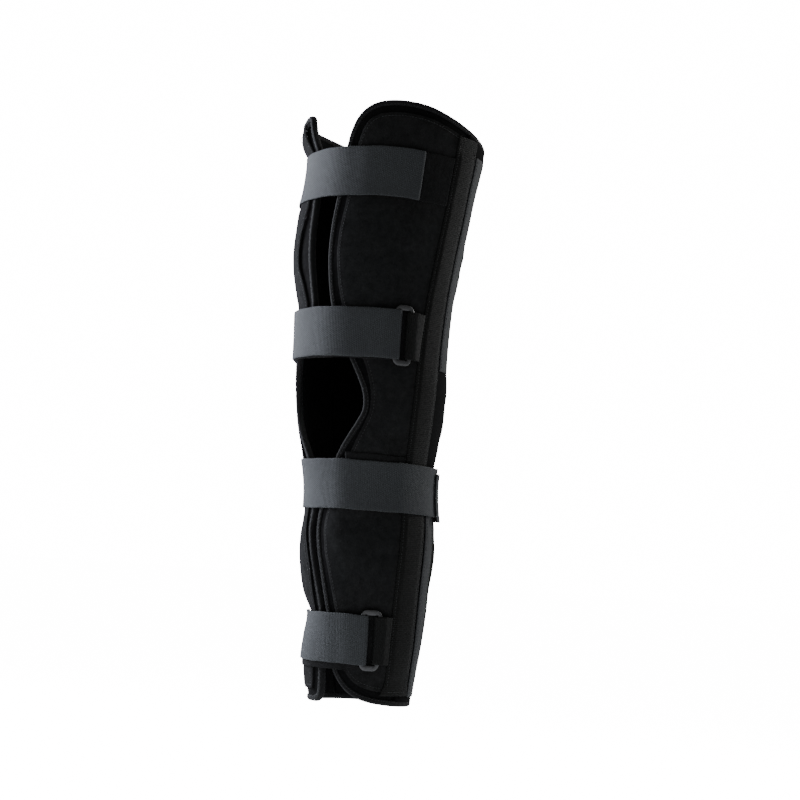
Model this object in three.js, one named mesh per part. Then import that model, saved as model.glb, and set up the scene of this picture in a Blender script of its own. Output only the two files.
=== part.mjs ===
import * as THREE from 'three';

// Knee immobilizer for a left leg, in millimetres. +Z runs up the leg, the front is -Y and the outer
// side of the leg is +X. The origin is the middle of the hollow at the knee.
//
// Every piece is laid out on the leg by three numbers: the turn round it from the front line (positive
// towards the outer side), the height z, and the rise above the skin. A larger rise always lies further
// out, so layers with different rises never meet.

// Hollow for the leg
const THIGH_LENGTH = 304;
const CALF_LENGTH = 306;
const THIGH_WIDTH = 174;
const KNEE_WIDTH = 131;
const CALF_WIDTH = 112;
const ANKLE_WIDTH = 81;
const DEPTH_OVER_WIDTH = 6;
const LEAN_SIDE = 4.8;
const LEAN_BACK = 10.5;
const SQUARENESS = 2.15;

// Sleeve
const PAD_THICKNESS = 5;
const COVER_THICKNESS = 1.1;
const LAYER_GAP = 0.6;
const COVER_GAP = 0.8;
const SEAM_GAP = 1;
const BINDING_WIDTH = 6;
const BINDING_UNDER = 0.4;
const BINDING_NOSE = 1.4;
const COVER_SET_BACK = 13;
const COVER_BOW = 9;
const CUTOUT_HALF_WIDTH = 56;

// Stay pockets and the grey strips behind them
const POCKET_WIDTH = 30;
const POCKET_THICKNESS = 2.5;
const POCKET_END = 11;
const REAR_STRIP_GAP = 3;
const REAR_STRIP_THICKNESS = 1.4;
const THIGH_STRIP_WIDTH = 19;
const CALF_STRIP_WIDTH = 14;

// Straps, patches and webs
const STRAP_WIDTH = 50;
const STRAP_THICKNESS = 1.5;
const STRAP_RAMP = 12;
const PATCH_THICKNESS = 1.2;
const PATCH_OVERLAP = 47;
const BELOW_KNEE_PATCH_LENGTH = 59;
const BELOW_KNEE_PATCH_SHOWS = 7;
const WEB_WIDTH = 48;
const THIGH_STRAP_END_GAP = 36;
const STRAP_TAIL_DROP = 6;
const RAMP_MARGIN = 3;
const PAST_BAR = 1.5;

// Slide loops
const RING_LENGTH = 61;
const RING_BAR = 4;
const RING_SLOT = 11;
const RING_THICKNESS = 2.8;
const RING_CORNER = 6;
const ABOVE_KNEE_RING_LEAD = 13;
const ANKLE_RING_LEAD = 10.5;
const RING_BEVEL = 0.6;

// Colours and finishes
const LAMINATE = { color: 0x151515, roughness: 0.95, metalness: 0 };
const COVER_CLOTH = { color: 0x111112, roughness: 0.97, metalness: 0 };
const BINDING_TAPE = { color: 0x1d1d1d, roughness: 0.85, metalness: 0 };
const BLACK_WEBBING = { color: 0x1b1b1a, roughness: 0.8, metalness: 0 };
const GREY_WEBBING = { color: 0x4a4d53, roughness: 0.75, metalness: 0 };
const PLASTIC = { color: 0x303133, roughness: 0.5, metalness: 0 };

// Sections of the hollow from the lower end up. up is a share of the calf length below the knee and of
// the thigh length above it, and lean is the share of the two lean distances.
const SECTIONS = [
  { up: -1.0, width: ANKLE_WIDTH, lean: 1.0 },
  { up: -0.78, width: ANKLE_WIDTH * 1.185, lean: 0.9 },
  { up: -0.52, width: CALF_WIDTH, lean: 0.58 },
  { up: -0.275, width: CALF_WIDTH, lean: 0.48 },
  { up: 0.0, width: KNEE_WIDTH, lean: -0.11 },
  { up: 0.225, width: KNEE_WIDTH * 1.025, lean: -0.36 },
  { up: 0.485, width: THIGH_WIDTH * 0.854, lean: -0.37 },
  { up: 0.75, width: THIGH_WIDTH * 0.92, lean: 0.08 },
  { up: 1.0, width: THIGH_WIDTH, lean: 0.2 },
];

// Front edges of the two flaps from the lower end up. off is the distance from the front line as a
// share of the cut-out's half width, and up is as above.
const LATERAL_FRONT = [
  { up: -0.89, off: 0.25 }, { up: -0.78, off: 0.19 }, { up: -0.69, off: 0.13 }, { up: -0.565, off: 0.03 },
  { up: -0.497, off: -0.05 }, { up: -0.428, off: -0.11 }, { up: -0.36, off: -0.07 },
  { up: -0.278, off: 0.09 }, { up: -0.176, off: 0.4 }, { up: -0.114, off: 0.66 },
  { up: -0.07, off: 0.85 }, { up: -0.03, off: 0.98 }, { up: 0.018, off: 1.0 }, { up: 0.075, off: 0.9 },
  { up: 0.135, off: 0.74 },
  { up: 0.22, off: 0.53 }, { up: 0.303, off: 0.36 }, { up: 0.43, off: 0.28 }, { up: 0.58, off: 0.3 },
  { up: 0.743, off: 0.43 }, { up: 0.878, off: 0.58 },
];
const MEDIAL_FRONT = [
  { up: -0.93, off: 0.01 }, { up: -0.784, off: -0.02 }, { up: -0.69, off: -0.04 }, { up: -0.62, off: 0.02 },
  { up: -0.56, off: 0.09 }, { up: -0.49, off: 0.19 }, { up: -0.428, off: 0.26 }, { up: -0.36, off: 0.2 },
  { up: -0.278, off: 0.2 }, { up: -0.176, off: 0.43 }, { up: -0.114, off: 0.67 },
  { up: -0.07, off: 0.86 }, { up: -0.03, off: 0.98 }, { up: 0.018, off: 1.0 }, { up: 0.075, off: 0.9 },
  { up: 0.135, off: 0.72 },
  { up: 0.22, off: 0.36 }, { up: 0.3, off: 0.08 }, { up: 0.38, off: 0.11 }, { up: 0.474, off: 0.17 },
  { up: 0.57, off: 0.2 }, { up: 0.655, off: 0.18 }, { up: 0.76, off: 0.18 },
  { up: 0.85, off: 0.26 }, { up: 0.925, off: 0.42 },
];

// Ends of the sleeve. turn is in degrees from the front line. The row marked corner is the front corner
// of the flap, and the row marked seam lies on the seam under the stay pocket.
const LATERAL_TOP = [
  { corner: true, turn: 27, up: 0.948 }, { turn: 34.5, up: 0.98 }, { turn: 42, up: 0.994 },
  { turn: 53, up: 1.0 }, { turn: 70, up: 0.995 }, { turn: 86, up: 0.977 }, { seam: true, up: 0.955 },
  { turn: 128, up: 0.928 },
];
const MEDIAL_TOP = [
  { corner: true, turn: 17, up: 0.968 }, { turn: 22.5, up: 0.971 }, { turn: 31, up: 0.963 },
  { turn: 46, up: 0.966 }, { turn: 66, up: 0.973 }, { turn: 86, up: 0.968 }, { seam: true, up: 0.955 },
  { turn: 128, up: 0.928 },
];
const LATERAL_BOTTOM = [
  { corner: true, turn: 22, up: -0.924 }, { turn: 32, up: -0.954 }, { turn: 45, up: -0.975 },
  { turn: 62, up: -0.988 }, { turn: 80, up: -0.994 }, { seam: true, up: -0.997 }, { turn: 130, up: -1.0 },
];
const MEDIAL_BOTTOM = [
  { corner: true, turn: 4, up: -0.978 }, { turn: 12, up: -0.996 }, { turn: 26, up: -1.0 },
  { turn: 45, up: -1.0 }, { turn: 70, up: -1.0 }, { seam: true, up: -1.0 }, { turn: 130, up: -1.0 },
];
const BACK_TOP_UP = 0.908;
const BACK_BOTTOM_UP = -1.0;

// Seam between a flap and the back panel, in degrees from the front line.
const SEAM_TURNS = [
  { up: -1.0, turn: 94 }, { up: -0.7, turn: 91 }, { up: -0.4, turn: 93 }, { up: 0.0, turn: 96 },
  { up: 0.24, turn: 100 }, { up: 0.5, turn: 103 }, { up: 1.0, turn: 103 },
];

// Middle of each strap and the angles where hidden ends lie, in degrees.
const THIGH_STRAP_UP = 0.757;
const ABOVE_KNEE_STRAP_UP = 0.222;
const BELOW_KNEE_STRAP_UP = -0.278;
const ANKLE_STRAP_UP = -0.782;
const FOLDED_TAIL_TURN = -58;
const LOOP_START_TURN = 200;
const LOOP_END_TURN = -240;
const THIGH_STRIP_UPS = [0.128, 0.87];
const CALF_STRIP_UPS = [-0.965, -0.33];

// Mesh density
const FLAP_COLUMNS = 10;
const FLAP_ROWS = 28;
const BACK_COLUMNS = 16;
const BACK_ROWS = 24;
const COVER_COLUMNS = 10;
const COVER_ROWS = 26;
const POCKET_COLUMNS = 4;
const POCKET_ROWS = 20;
const STRIP_COLUMNS = 2;
const STRIP_ROWS = 8;
const PATCH_ROWS = 4;
const STRAP_STEP = 8;
const SHORTEST_STEP = 0.6;
const FOLD_STEPS = 6;
const RING_CORNER_STEPS = 2;
const LENGTH_SAMPLES = 400;
const SLOPE_STEP = 0.02;

// Rises of the layers, each from the one that carries it
const COVER_RISE = PAD_THICKNESS + COVER_GAP;
const SLEEVE_TOP = COVER_RISE + COVER_THICKNESS;
const OUTSIDE_RISE = SLEEVE_TOP + LAYER_GAP;
const OVER_PATCH_RISE = OUTSIDE_RISE + PATCH_THICKNESS + LAYER_GAP;
const OVER_POCKET_RISE = OUTSIDE_RISE + POCKET_THICKNESS + LAYER_GAP;
const RING_RISE = OUTSIDE_RISE + STRAP_THICKNESS + LAYER_GAP;
const RING_WIDTH = RING_SLOT + 2 * RING_BAR;

const radians = THREE.MathUtils.degToRad;

function heightOf(up) {
  return up * (up < 0 ? CALF_LENGTH : THIGH_LENGTH);
}

// Smooth curve through the rows of a table, as a function of z.
function tableCurve(rows, columns) {
  const heights = rows.map((row) => heightOf(row.up));
  const values = rows.flatMap((row) => columns.map((column) => row[column]));
  const curve = new THREE.CubicInterpolant(heights, values, columns.length);
  return (z) => Array.from(curve.evaluate(z));
}

const sectionAt = tableCurve(SECTIONS, ['width', 'lean']);
const seamAt = tableCurve(SEAM_TURNS, ['turn']);

// Radius that turns a distance round the outside of the sleeve at height z into an angle.
function wrapRadius(z) {
  const [width] = sectionAt(z);
  return (width + DEPTH_OVER_WIDTH / 2) / 2 + SLEEVE_TOP;
}

function seamTurn(z) {
  return radians(seamAt(z)[0]);
}

// Point on the leg: a slightly squared ellipse that grows by the rise on every side.
function onLeg(turn, z, rise) {
  const [width, lean] = sectionAt(z);
  const sine = Math.sin(turn);
  const cosine = Math.cos(turn);
  const power = Math.abs(sine) ** SQUARENESS + Math.abs(cosine) ** SQUARENESS;
  const stretch = power ** (-1 / SQUARENESS);
  const across = (width / 2 + rise) * stretch * sine;
  const along = ((width + DEPTH_OVER_WIDTH) / 2 + rise) * stretch * cosine;
  return new THREE.Vector3(LEAN_SIDE * lean + across, LEAN_BACK * lean - along, z);
}

function meshOf(name, geometry, finish) {
  geometry.computeVertexNormals();
  const material = new THREE.MeshStandardMaterial({ ...finish, flatShading: true });
  const mesh = new THREE.Mesh(geometry, material);
  mesh.name = name;
  return mesh;
}

// Closed slab between two faces of a grid. pointAt(i, j, face) gives a corner, with face 0 on the
// inner side and face 1 on the outer side.
function slab(columns, rows, pointAt) {
  const positions = [];
  for (const face of [0, 1]) {
    for (let j = 0; j <= rows; j += 1) {
      for (let i = 0; i <= columns; i += 1) positions.push(...pointAt(i, j, face).toArray());
    }
  }
  const corner = (i, j, face) => (face * (rows + 1) + j) * (columns + 1) + i;
  const index = [];
  const quad = (a, b, c, d) => index.push(a, b, c, a, c, d);
  for (let j = 0; j < rows; j += 1) {
    for (let i = 0; i < columns; i += 1) {
      quad(corner(i, j, 1), corner(i + 1, j, 1), corner(i + 1, j + 1, 1), corner(i, j + 1, 1));
      quad(corner(i, j, 0), corner(i, j + 1, 0), corner(i + 1, j + 1, 0), corner(i + 1, j, 0));
    }
    quad(corner(0, j, 0), corner(0, j, 1), corner(0, j + 1, 1), corner(0, j + 1, 0));
    quad(corner(columns, j, 0), corner(columns, j + 1, 0), corner(columns, j + 1, 1), corner(columns, j, 1));
  }
  for (let i = 0; i < columns; i += 1) {
    quad(corner(i, 0, 0), corner(i + 1, 0, 0), corner(i + 1, 0, 1), corner(i, 0, 1));
    quad(corner(i, rows, 0), corner(i, rows, 1), corner(i + 1, rows, 1), corner(i + 1, rows, 0));
  }
  const geometry = new THREE.BufferGeometry();
  geometry.setAttribute('position', new THREE.Float32BufferAttribute(positions, 3));
  geometry.setIndex(index);
  return geometry;
}

// Outline of the sleeve laid flat. It runs from the back of the lower end along the lateral side, up
// the lateral front edge, over the top and down the medial side. Its points hold turn times a mean
// radius, and z, and the places of the corners and seams are kept as counts along it.
const MEAN_RADIUS = (THIGH_WIDTH + ANKLE_WIDTH) / 4;

function outlinePoints() {
  const points = [];
  const marks = {};
  const place = (turn, up) => points.push(new THREE.Vector3(turn * MEAN_RADIUS, heightOf(up), 0));
  const around = (side, turn) => (side > 0 ? turn : 2 * Math.PI - turn);
  const placeEnd = (rows, side, name) => {
    rows.forEach((row) => {
      if (row.seam) marks[`${name}Seam`] = points.length;
      if (row.corner) marks[`${name}Corner`] = points.length;
      const turn = row.seam ? seamTurn(heightOf(row.up)) : radians(row.turn);
      place(around(side, turn), row.up);
    });
  };
  const placeFront = (rows, side) => {
    rows.forEach(({ up, off }) => {
      place(around(side, (off * CUTOUT_HALF_WIDTH) / wrapRadius(heightOf(up))), up);
    });
  };
  place(Math.PI, BACK_BOTTOM_UP);
  placeEnd(LATERAL_BOTTOM.toReversed(), 1, 'lateralBottom');
  placeFront(LATERAL_FRONT, 1);
  placeEnd(LATERAL_TOP, 1, 'lateralTop');
  place(Math.PI, BACK_TOP_UP);
  placeEnd(MEDIAL_TOP.toReversed(), -1, 'medialTop');
  placeFront(MEDIAL_FRONT.toReversed(), -1);
  placeEnd(MEDIAL_BOTTOM, -1, 'medialBottom');
  return { points, marks };
}

const { points: OUTLINE_POINTS, marks: OUTLINE_MARKS } = outlinePoints();
const OUTLINE = new THREE.CatmullRomCurve3(OUTLINE_POINTS, true, 'centripetal');

function outlineAt(count) {
  const share = THREE.MathUtils.euclideanModulo(count / OUTLINE_POINTS.length, 1);
  const { x, y } = OUTLINE.getPoint(share);
  return { turn: x / MEAN_RADIUS, z: y };
}

// Point of the outline moved inwards over the surface by a distance.
function insetAt(count, inset) {
  const here = outlineAt(count);
  const before = outlineAt(count - SLOPE_STEP);
  const after = outlineAt(count + SLOPE_STEP);
  const radius = wrapRadius(here.z);
  const run = (after.turn - before.turn) * radius;
  const climb = after.z - before.z;
  const length = Math.hypot(run, climb);
  return {
    turn: here.turn + (climb / length) * (inset / radius),
    z: here.z - (run / length) * inset,
  };
}

// Counts along the outline from one mark to another, at equal distances over the surface.
function evenCounts(from, to, steps) {
  const counts = [];
  const lengths = [0];
  let last = null;
  for (let k = 0; k <= LENGTH_SAMPLES; k += 1) {
    const count = THREE.MathUtils.lerp(from, to, k / LENGTH_SAMPLES);
    const { turn, z } = outlineAt(count);
    if (last) {
      lengths.push(lengths.at(-1) + Math.hypot((turn - last.turn) * wrapRadius(z), z - last.z));
    }
    last = { turn, z };
    counts.push(count);
  }
  return Array.from({ length: steps + 1 }, (_, k) => {
    const wanted = (lengths.at(-1) * k) / steps;
    const after = Math.max(1, lengths.findIndex((length) => length >= wanted - 1e-9));
    const part = (wanted - lengths[after - 1]) / (lengths[after] - lengths[after - 1]);
    return THREE.MathUtils.lerp(counts[after - 1], counts[after], part);
  });
}

// Counts of one flap's edges. Those of the two ends run from the front corner back to the seam, and
// those of the front run upwards.
function flapEdges(side, columns, rows) {
  const name = side > 0 ? 'lateral' : 'medial';
  const lowCorner = OUTLINE_MARKS[`${name}BottomCorner`];
  const topCorner = OUTLINE_MARKS[`${name}TopCorner`];
  return {
    bottom: evenCounts(lowCorner, OUTLINE_MARKS[`${name}BottomSeam`], columns),
    front: evenCounts(lowCorner, topCorner, rows),
    top: evenCounts(topCorner, OUTLINE_MARKS[`${name}TopSeam`], columns),
  };
}

// Blend of four edges into a grid (a Coons patch), with the rear edge on the seam.
function flapGrid(side, columns, rows, insetOf) {
  const counts = flapEdges(side, columns, rows);
  const moved = (count) => insetAt(count, insetOf(outlineAt(count).z));
  const front = counts.front.map(moved);
  const bottom = counts.bottom.map(moved);
  const top = counts.top.map(moved);
  const rearAt = (z) => {
    const turn = seamTurn(z) - SEAM_GAP / 2 / wrapRadius(z);
    return { turn: side > 0 ? turn : 2 * Math.PI - turn, z };
  };
  const low = bottom.at(-1).z;
  const high = top.at(-1).z;
  const settle = (edge, end) => edge.map((point, i) => ({
    turn: point.turn + (end.turn - edge.at(-1).turn) * (i / columns),
    z: point.z,
  }));
  const lowEdge = settle(bottom, rearAt(low));
  const highEdge = settle(top, rearAt(high));
  return (i, j) => {
    const s = i / columns;
    const v = j / rows;
    const rear = rearAt(THREE.MathUtils.lerp(low, high, v));
    const blend = (key) => (1 - s) * front[j][key] + s * rear[key]
      + (1 - v) * lowEdge[i][key] + v * highEdge[i][key]
      - (1 - s) * ((1 - v) * front[0][key] + v * front[rows][key])
      - s * ((1 - v) * lowEdge[columns][key] + v * highEdge[columns][key]);
    return { turn: blend('turn'), z: blend('z') };
  };
}

function flapSheet(side, columns, rows, insetOf, lowRise, highRise) {
  const grid = flapGrid(side, columns, rows, insetOf);
  return slab(columns, rows, (i, j, face) => {
    const { turn, z } = grid(side > 0 ? i : columns - i, j);
    return onLeg(turn, z, face ? highRise : lowRise);
  });
}

function wing(name, side) {
  const inset = BINDING_WIDTH + LAYER_GAP;
  const geometry = flapSheet(side, FLAP_COLUMNS, FLAP_ROWS, () => inset, 0, PAD_THICKNESS);
  return meshOf(name, geometry, LAMINATE);
}

// Outer layer of a flap. bow is how much further its front edge is drawn back between the two thigh
// straps.
function cover(name, side, bow) {
  const low = heightOf(ABOVE_KNEE_STRAP_UP) + STRAP_WIDTH / 2;
  const high = heightOf(THIGH_STRAP_UP) - STRAP_WIDTH / 2;
  const insetOf = (z) => {
    const share = THREE.MathUtils.clamp((z - low) / (high - low), 0, 1);
    return COVER_SET_BACK + bow * Math.sin(Math.PI * share) ** 2;
  };
  const geometry = flapSheet(side, COVER_COLUMNS, COVER_ROWS, insetOf, COVER_RISE, SLEEVE_TOP);
  return meshOf(name, geometry, COVER_CLOTH);
}

function backEdges() {
  const marks = OUTLINE_MARKS;
  const total = OUTLINE_POINTS.length;
  return {
    top: evenCounts(marks.lateralTopSeam, marks.medialTopSeam, BACK_COLUMNS),
    bottom: evenCounts(marks.lateralBottomSeam, marks.medialBottomSeam - total, BACK_COLUMNS),
  };
}

function backPanel() {
  const inset = BINDING_WIDTH + LAYER_GAP;
  const counts = backEdges();
  const top = counts.top.map((count) => insetAt(count, inset));
  const bottom = counts.bottom.map((count) => insetAt(count, inset));
  const geometry = slab(BACK_COLUMNS, BACK_ROWS, (i, j, face) => {
    const z = THREE.MathUtils.lerp(bottom[i].z, top[i].z, j / BACK_ROWS);
    const plain = (k) => THREE.MathUtils.lerp(bottom[k].turn, top[k].turn, j / BACK_ROWS);
    const share = (plain(i) - plain(0)) / (plain(BACK_COLUMNS) - plain(0));
    const start = seamTurn(z) + SEAM_GAP / 2 / wrapRadius(z);
    return onLeg(THREE.MathUtils.lerp(start, 2 * Math.PI - start, share), z, face ? SLEEVE_TOP : 0);
  });
  return meshOf('back_panel', geometry, LAMINATE);
}

// Bound edge: a rounded bar carried once round the outline, through the same stations as the rims of
// the panels inside it.
function edgeBinding() {
  const lateral = flapEdges(1, FLAP_COLUMNS, FLAP_ROWS);
  const medial = flapEdges(-1, FLAP_COLUMNS, FLAP_ROWS);
  const back = backEdges();
  const total = OUTLINE_POINTS.length;
  const loop = [
    ...lateral.bottom.toReversed(), ...lateral.front, ...lateral.top, ...back.top,
    ...medial.top.toReversed(), ...medial.front.toReversed(), ...medial.bottom,
    ...back.bottom.toReversed().map((count) => count + total),
  ].filter((count, k, all) => Math.abs(count - all.at(k - 1)) > 1e-6 || k === 0);
  const base = loop[0];
  const stations = loop.filter((count) => count < base + total - 1e-6);
  const profile = [
    [BINDING_WIDTH, SLEEVE_TOP],
    [BINDING_NOSE, SLEEVE_TOP],
    [0, SLEEVE_TOP - BINDING_NOSE],
    [0, BINDING_NOSE - BINDING_UNDER],
    [BINDING_NOSE, -BINDING_UNDER],
    [BINDING_WIDTH, -BINDING_UNDER],
  ];
  const positions = [];
  stations.forEach((count) => profile.forEach(([inset, rise]) => {
    const { turn, z } = insetAt(count, inset);
    positions.push(...onLeg(turn, z, rise).toArray());
  }));
  const sides = profile.length;
  const index = [];
  stations.forEach((_, k) => profile.forEach((__, m) => {
    const here = k * sides;
    const next = ((k + 1) % stations.length) * sides;
    const m2 = (m + 1) % sides;
    index.push(here + m, next + m, next + m2, here + m, next + m2, here + m2);
  }));
  const geometry = new THREE.BufferGeometry();
  geometry.setAttribute('position', new THREE.Float32BufferAttribute(positions, 3));
  geometry.setIndex(index);
  return meshOf('edge_binding', geometry, BINDING_TAPE);
}

// Long strip laid up the leg. middle(z) gives its turn on the lateral side, and side mirrors it.
function uprightStrip(side, middle, width, low, high, rise, thickness, columns, rows) {
  return slab(columns, rows, (i, j, face) => {
    const z = THREE.MathUtils.lerp(low, high, j / rows);
    const across = ((i / columns) - 0.5) * width;
    return onLeg(side * middle(z) + across / wrapRadius(z), z, rise + face * thickness);
  });
}

function stayPocket(name, side) {
  const seamUp = (rows) => heightOf(rows.find((row) => row.seam).up);
  const low = seamUp(side > 0 ? LATERAL_BOTTOM : MEDIAL_BOTTOM) + POCKET_END;
  const high = seamUp(side > 0 ? LATERAL_TOP : MEDIAL_TOP) - POCKET_END;
  const geometry = uprightStrip(
    side, seamTurn, POCKET_WIDTH, low, high, OUTSIDE_RISE, POCKET_THICKNESS, POCKET_COLUMNS, POCKET_ROWS,
  );
  return meshOf(name, geometry, BLACK_WEBBING);
}

function rearStrip(name, side, width, ups) {
  const behind = POCKET_WIDTH / 2 + REAR_STRIP_GAP + width / 2;
  const middle = (z) => seamTurn(z) + behind / wrapRadius(z);
  const [low, high] = ups.map(heightOf);
  const geometry = uprightStrip(
    side, middle, width, low, high, OUTSIDE_RISE, REAR_STRIP_THICKNESS, STRIP_COLUMNS, STRIP_ROWS,
  );
  return meshOf(name, geometry, GREY_WEBBING);
}

// Turn of the front edge of a stay pocket at height z, on the lateral side.
function pocketFront(z) {
  return seamTurn(z) - POCKET_WIDTH / 2 / wrapRadius(z);
}

// Band bent along a path of places round the leg. Each place has a turn, the rise of the band's middle,
// and may have a drop of its height. The band's faces stand half its thickness off that path. A place
// with an edge of 1 or -1 keeps to the slant of the lateral or medial pocket's front edge.
function bandAlong(path, z, width, thickness, rows = 1) {
  const radius = wrapRadius(z);
  const normals = path.map((_, i) => {
    const before = path[Math.max(i - 1, 0)];
    const after = path[Math.min(i + 1, path.length - 1)];
    const run = (after.turn - before.turn) * radius;
    const climb = after.rise - before.rise;
    const length = Math.hypot(run, climb);
    return [-climb / length, run / length];
  });
  return slab(path.length - 1, rows, (i, j, face) => {
    const { turn, rise, drop = 0, edge = 0 } = path[i];
    const off = (face - 0.5) * thickness;
    const height = z - drop + (j / rows - 0.5) * width;
    const slant = edge * (pocketFront(height) - pocketFront(z));
    return onLeg(turn + slant + (normals[i][0] * off) / radius, height, rise + normals[i][1] * off);
  });
}

// Places from one turn to another, no further apart than the strap step, with the bends of the rise
// among them. riseAt(turn) gives the rise and bends lists the turns where its slope changes.
function runBetween(from, to, riseAt, bends) {
  const step = radians(STRAP_STEP) * Math.sign(to - from);
  const turns = [from, to, ...bends.filter((turn) => (turn - from) * (turn - to) < 0)];
  for (let turn = from + step; (to - turn) * Math.sign(step) > 0; turn += step) turns.push(turn);
  turns.sort((a, b) => (a - b) * Math.sign(step));
  const apart = radians(SHORTEST_STEP);
  const kept = turns.filter((turn, k) => k === 0 || Math.abs(turn - turns[k - 1]) > apart);
  return kept.map((turn) => ({ turn, rise: riseAt(turn) }));
}

// Rise that clears a list of supports, each with its two turns and the rise over it, with a ramp on
// both sides of each.
function riseOver(supports, floor, radius) {
  const ramp = STRAP_RAMP / radius;
  return (turn) => supports.reduce((rise, { from, to, over }) => {
    const outside = Math.max(from - turn, turn - to, 0);
    const share = THREE.MathUtils.clamp(1 - outside / ramp, 0, 1);
    return Math.max(rise, floor + (over - floor) * share);
  }, floor);
}

function bendsOf(supports, radius) {
  const ramp = STRAP_RAMP / radius;
  return supports.flatMap(({ from, to }) => [from - ramp, from, to, to + ramp]);
}

function thighStrap() {
  const z = heightOf(THIGH_STRAP_UP);
  const radius = wrapRadius(z);
  const clear = LAYER_GAP / radius;
  const end = pocketFront(z) - THIGH_STRAP_END_GAP / radius;
  const support = { from: end - (PATCH_OVERLAP + LAYER_GAP) / radius, to: Math.PI, over: OVER_PATCH_RISE };
  const lift = STRAP_THICKNESS / 2;
  const rise = riseOver([support], OUTSIDE_RISE, radius);
  const path = runBetween(
    clear - pocketFront(z), end, (turn) => rise(turn) + lift, bendsOf([support], radius),
  );
  path[0].edge = -1;
  return meshOf('strap_thigh', bandAlong(path, z, STRAP_WIDTH, STRAP_THICKNESS), GREY_WEBBING);
}

function thighPatch() {
  const z = heightOf(THIGH_STRAP_UP);
  const radius = wrapRadius(z);
  const from = pocketFront(z) - (THIGH_STRAP_END_GAP + PATCH_OVERLAP) / radius;
  const middle = OUTSIDE_RISE + PATCH_THICKNESS / 2;
  const path = runBetween(from, pocketFront(z) - LAYER_GAP / radius, () => middle, []);
  path.at(-1).edge = 1;
  return meshOf('thigh_patch', bandAlong(path, z, STRAP_WIDTH, PATCH_THICKNESS), BLACK_WEBBING);
}

// Half turn of a band round a bar of a loop. The band comes in under the bar and leaves over it, and
// way is 1 where it comes in from a smaller turn.
function foldRound(barTurn, way, radius) {
  const low = OUTSIDE_RISE + STRAP_THICKNESS / 2;
  const high = RING_RISE + RING_THICKNESS + LAYER_GAP + STRAP_THICKNESS / 2;
  const bend = (high - low) / 2;
  return Array.from({ length: FOLD_STEPS + 1 }, (_, k) => {
    const angle = (Math.PI * k) / FOLD_STEPS;
    return {
      turn: barTurn + (way * bend * Math.sin(angle)) / radius,
      rise: (low + high) / 2 - bend * Math.cos(angle),
    };
  });
}

// Turns of the outer sides of a loop at height z: the one that the strap holds and the one that the
// web holds. lead is the loop's distance from the pocket.
function ringTurns(z, lead) {
  const webSide = pocketFront(z) - lead / wrapRadius(z);
  return { strapSide: webSide - RING_WIDTH / wrapRadius(z), webSide };
}

// Strap that runs from the medial pocket to a loop, folds back through it and lies on itself.
function foldedStrap(name, up, lead) {
  const z = heightOf(up);
  const radius = wrapRadius(z);
  const { strapSide } = ringTurns(z, lead);
  const foldTurn = strapSide + (RING_BAR - RING_BEVEL) / radius;
  const low = OUTSIDE_RISE + STRAP_THICKNESS / 2;
  const onItself = low + STRAP_THICKNESS + LAYER_GAP;
  const overRing = RING_RISE + RING_THICKNESS + LAYER_GAP;
  const over = { from: strapSide - PAST_BAR / radius, to: Math.PI, over: overRing };
  const rise = riseOver([over], onItself - STRAP_THICKNESS / 2, radius);
  const start = LAYER_GAP / radius - pocketFront(z);
  const bends = bendsOf([over], radius);
  const lower = runBetween(start, foldTurn, () => low, bends);
  const upper = runBetween(
    foldTurn, radians(FOLDED_TAIL_TURN), (turn) => rise(turn) + STRAP_THICKNESS / 2, bends,
  );
  lower[0].edge = -1;
  const path = [...lower.slice(0, -1), ...foldRound(foldTurn, 1, radius), ...upper.slice(1)];
  return meshOf(name, bandAlong(path, z, STRAP_WIDTH, STRAP_THICKNESS), GREY_WEBBING);
}

// Web that holds a loop: out from the pocket, round the bar and back over itself.
function ringWeb(name, up, lead) {
  const z = heightOf(up);
  const radius = wrapRadius(z);
  const { webSide } = ringTurns(z, lead);
  const foldTurn = webSide - (RING_BAR - RING_BEVEL) / radius;
  const start = pocketFront(z) - LAYER_GAP / radius;
  const low = OUTSIDE_RISE + STRAP_THICKNESS / 2;
  const high = RING_RISE + RING_THICKNESS + LAYER_GAP + STRAP_THICKNESS / 2;
  const landed = low + STRAP_THICKNESS + LAYER_GAP;
  const bar = webSide + PAST_BAR / radius;
  const path = [
    { turn: start, rise: low, edge: 1 },
    ...foldRound(foldTurn, -1, radius),
    { turn: bar, rise: high },
    { turn: start, rise: landed, edge: 1 },
  ];
  return meshOf(name, bandAlong(path, z, WEB_WIDTH, STRAP_THICKNESS), BLACK_WEBBING);
}

function roundedRectangle(path, width, height, corner) {
  const x = width / 2;
  const y = height / 2;
  path.moveTo(x, y - corner);
  path.absarc(x - corner, y - corner, corner, 0, Math.PI / 2, false);
  path.absarc(corner - x, y - corner, corner, Math.PI / 2, Math.PI, false);
  path.absarc(corner - x, corner - y, corner, Math.PI, Math.PI * 1.5, false);
  path.absarc(x - corner, corner - y, corner, Math.PI * 1.5, Math.PI * 2, false);
  path.closePath();
  return path;
}

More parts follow.
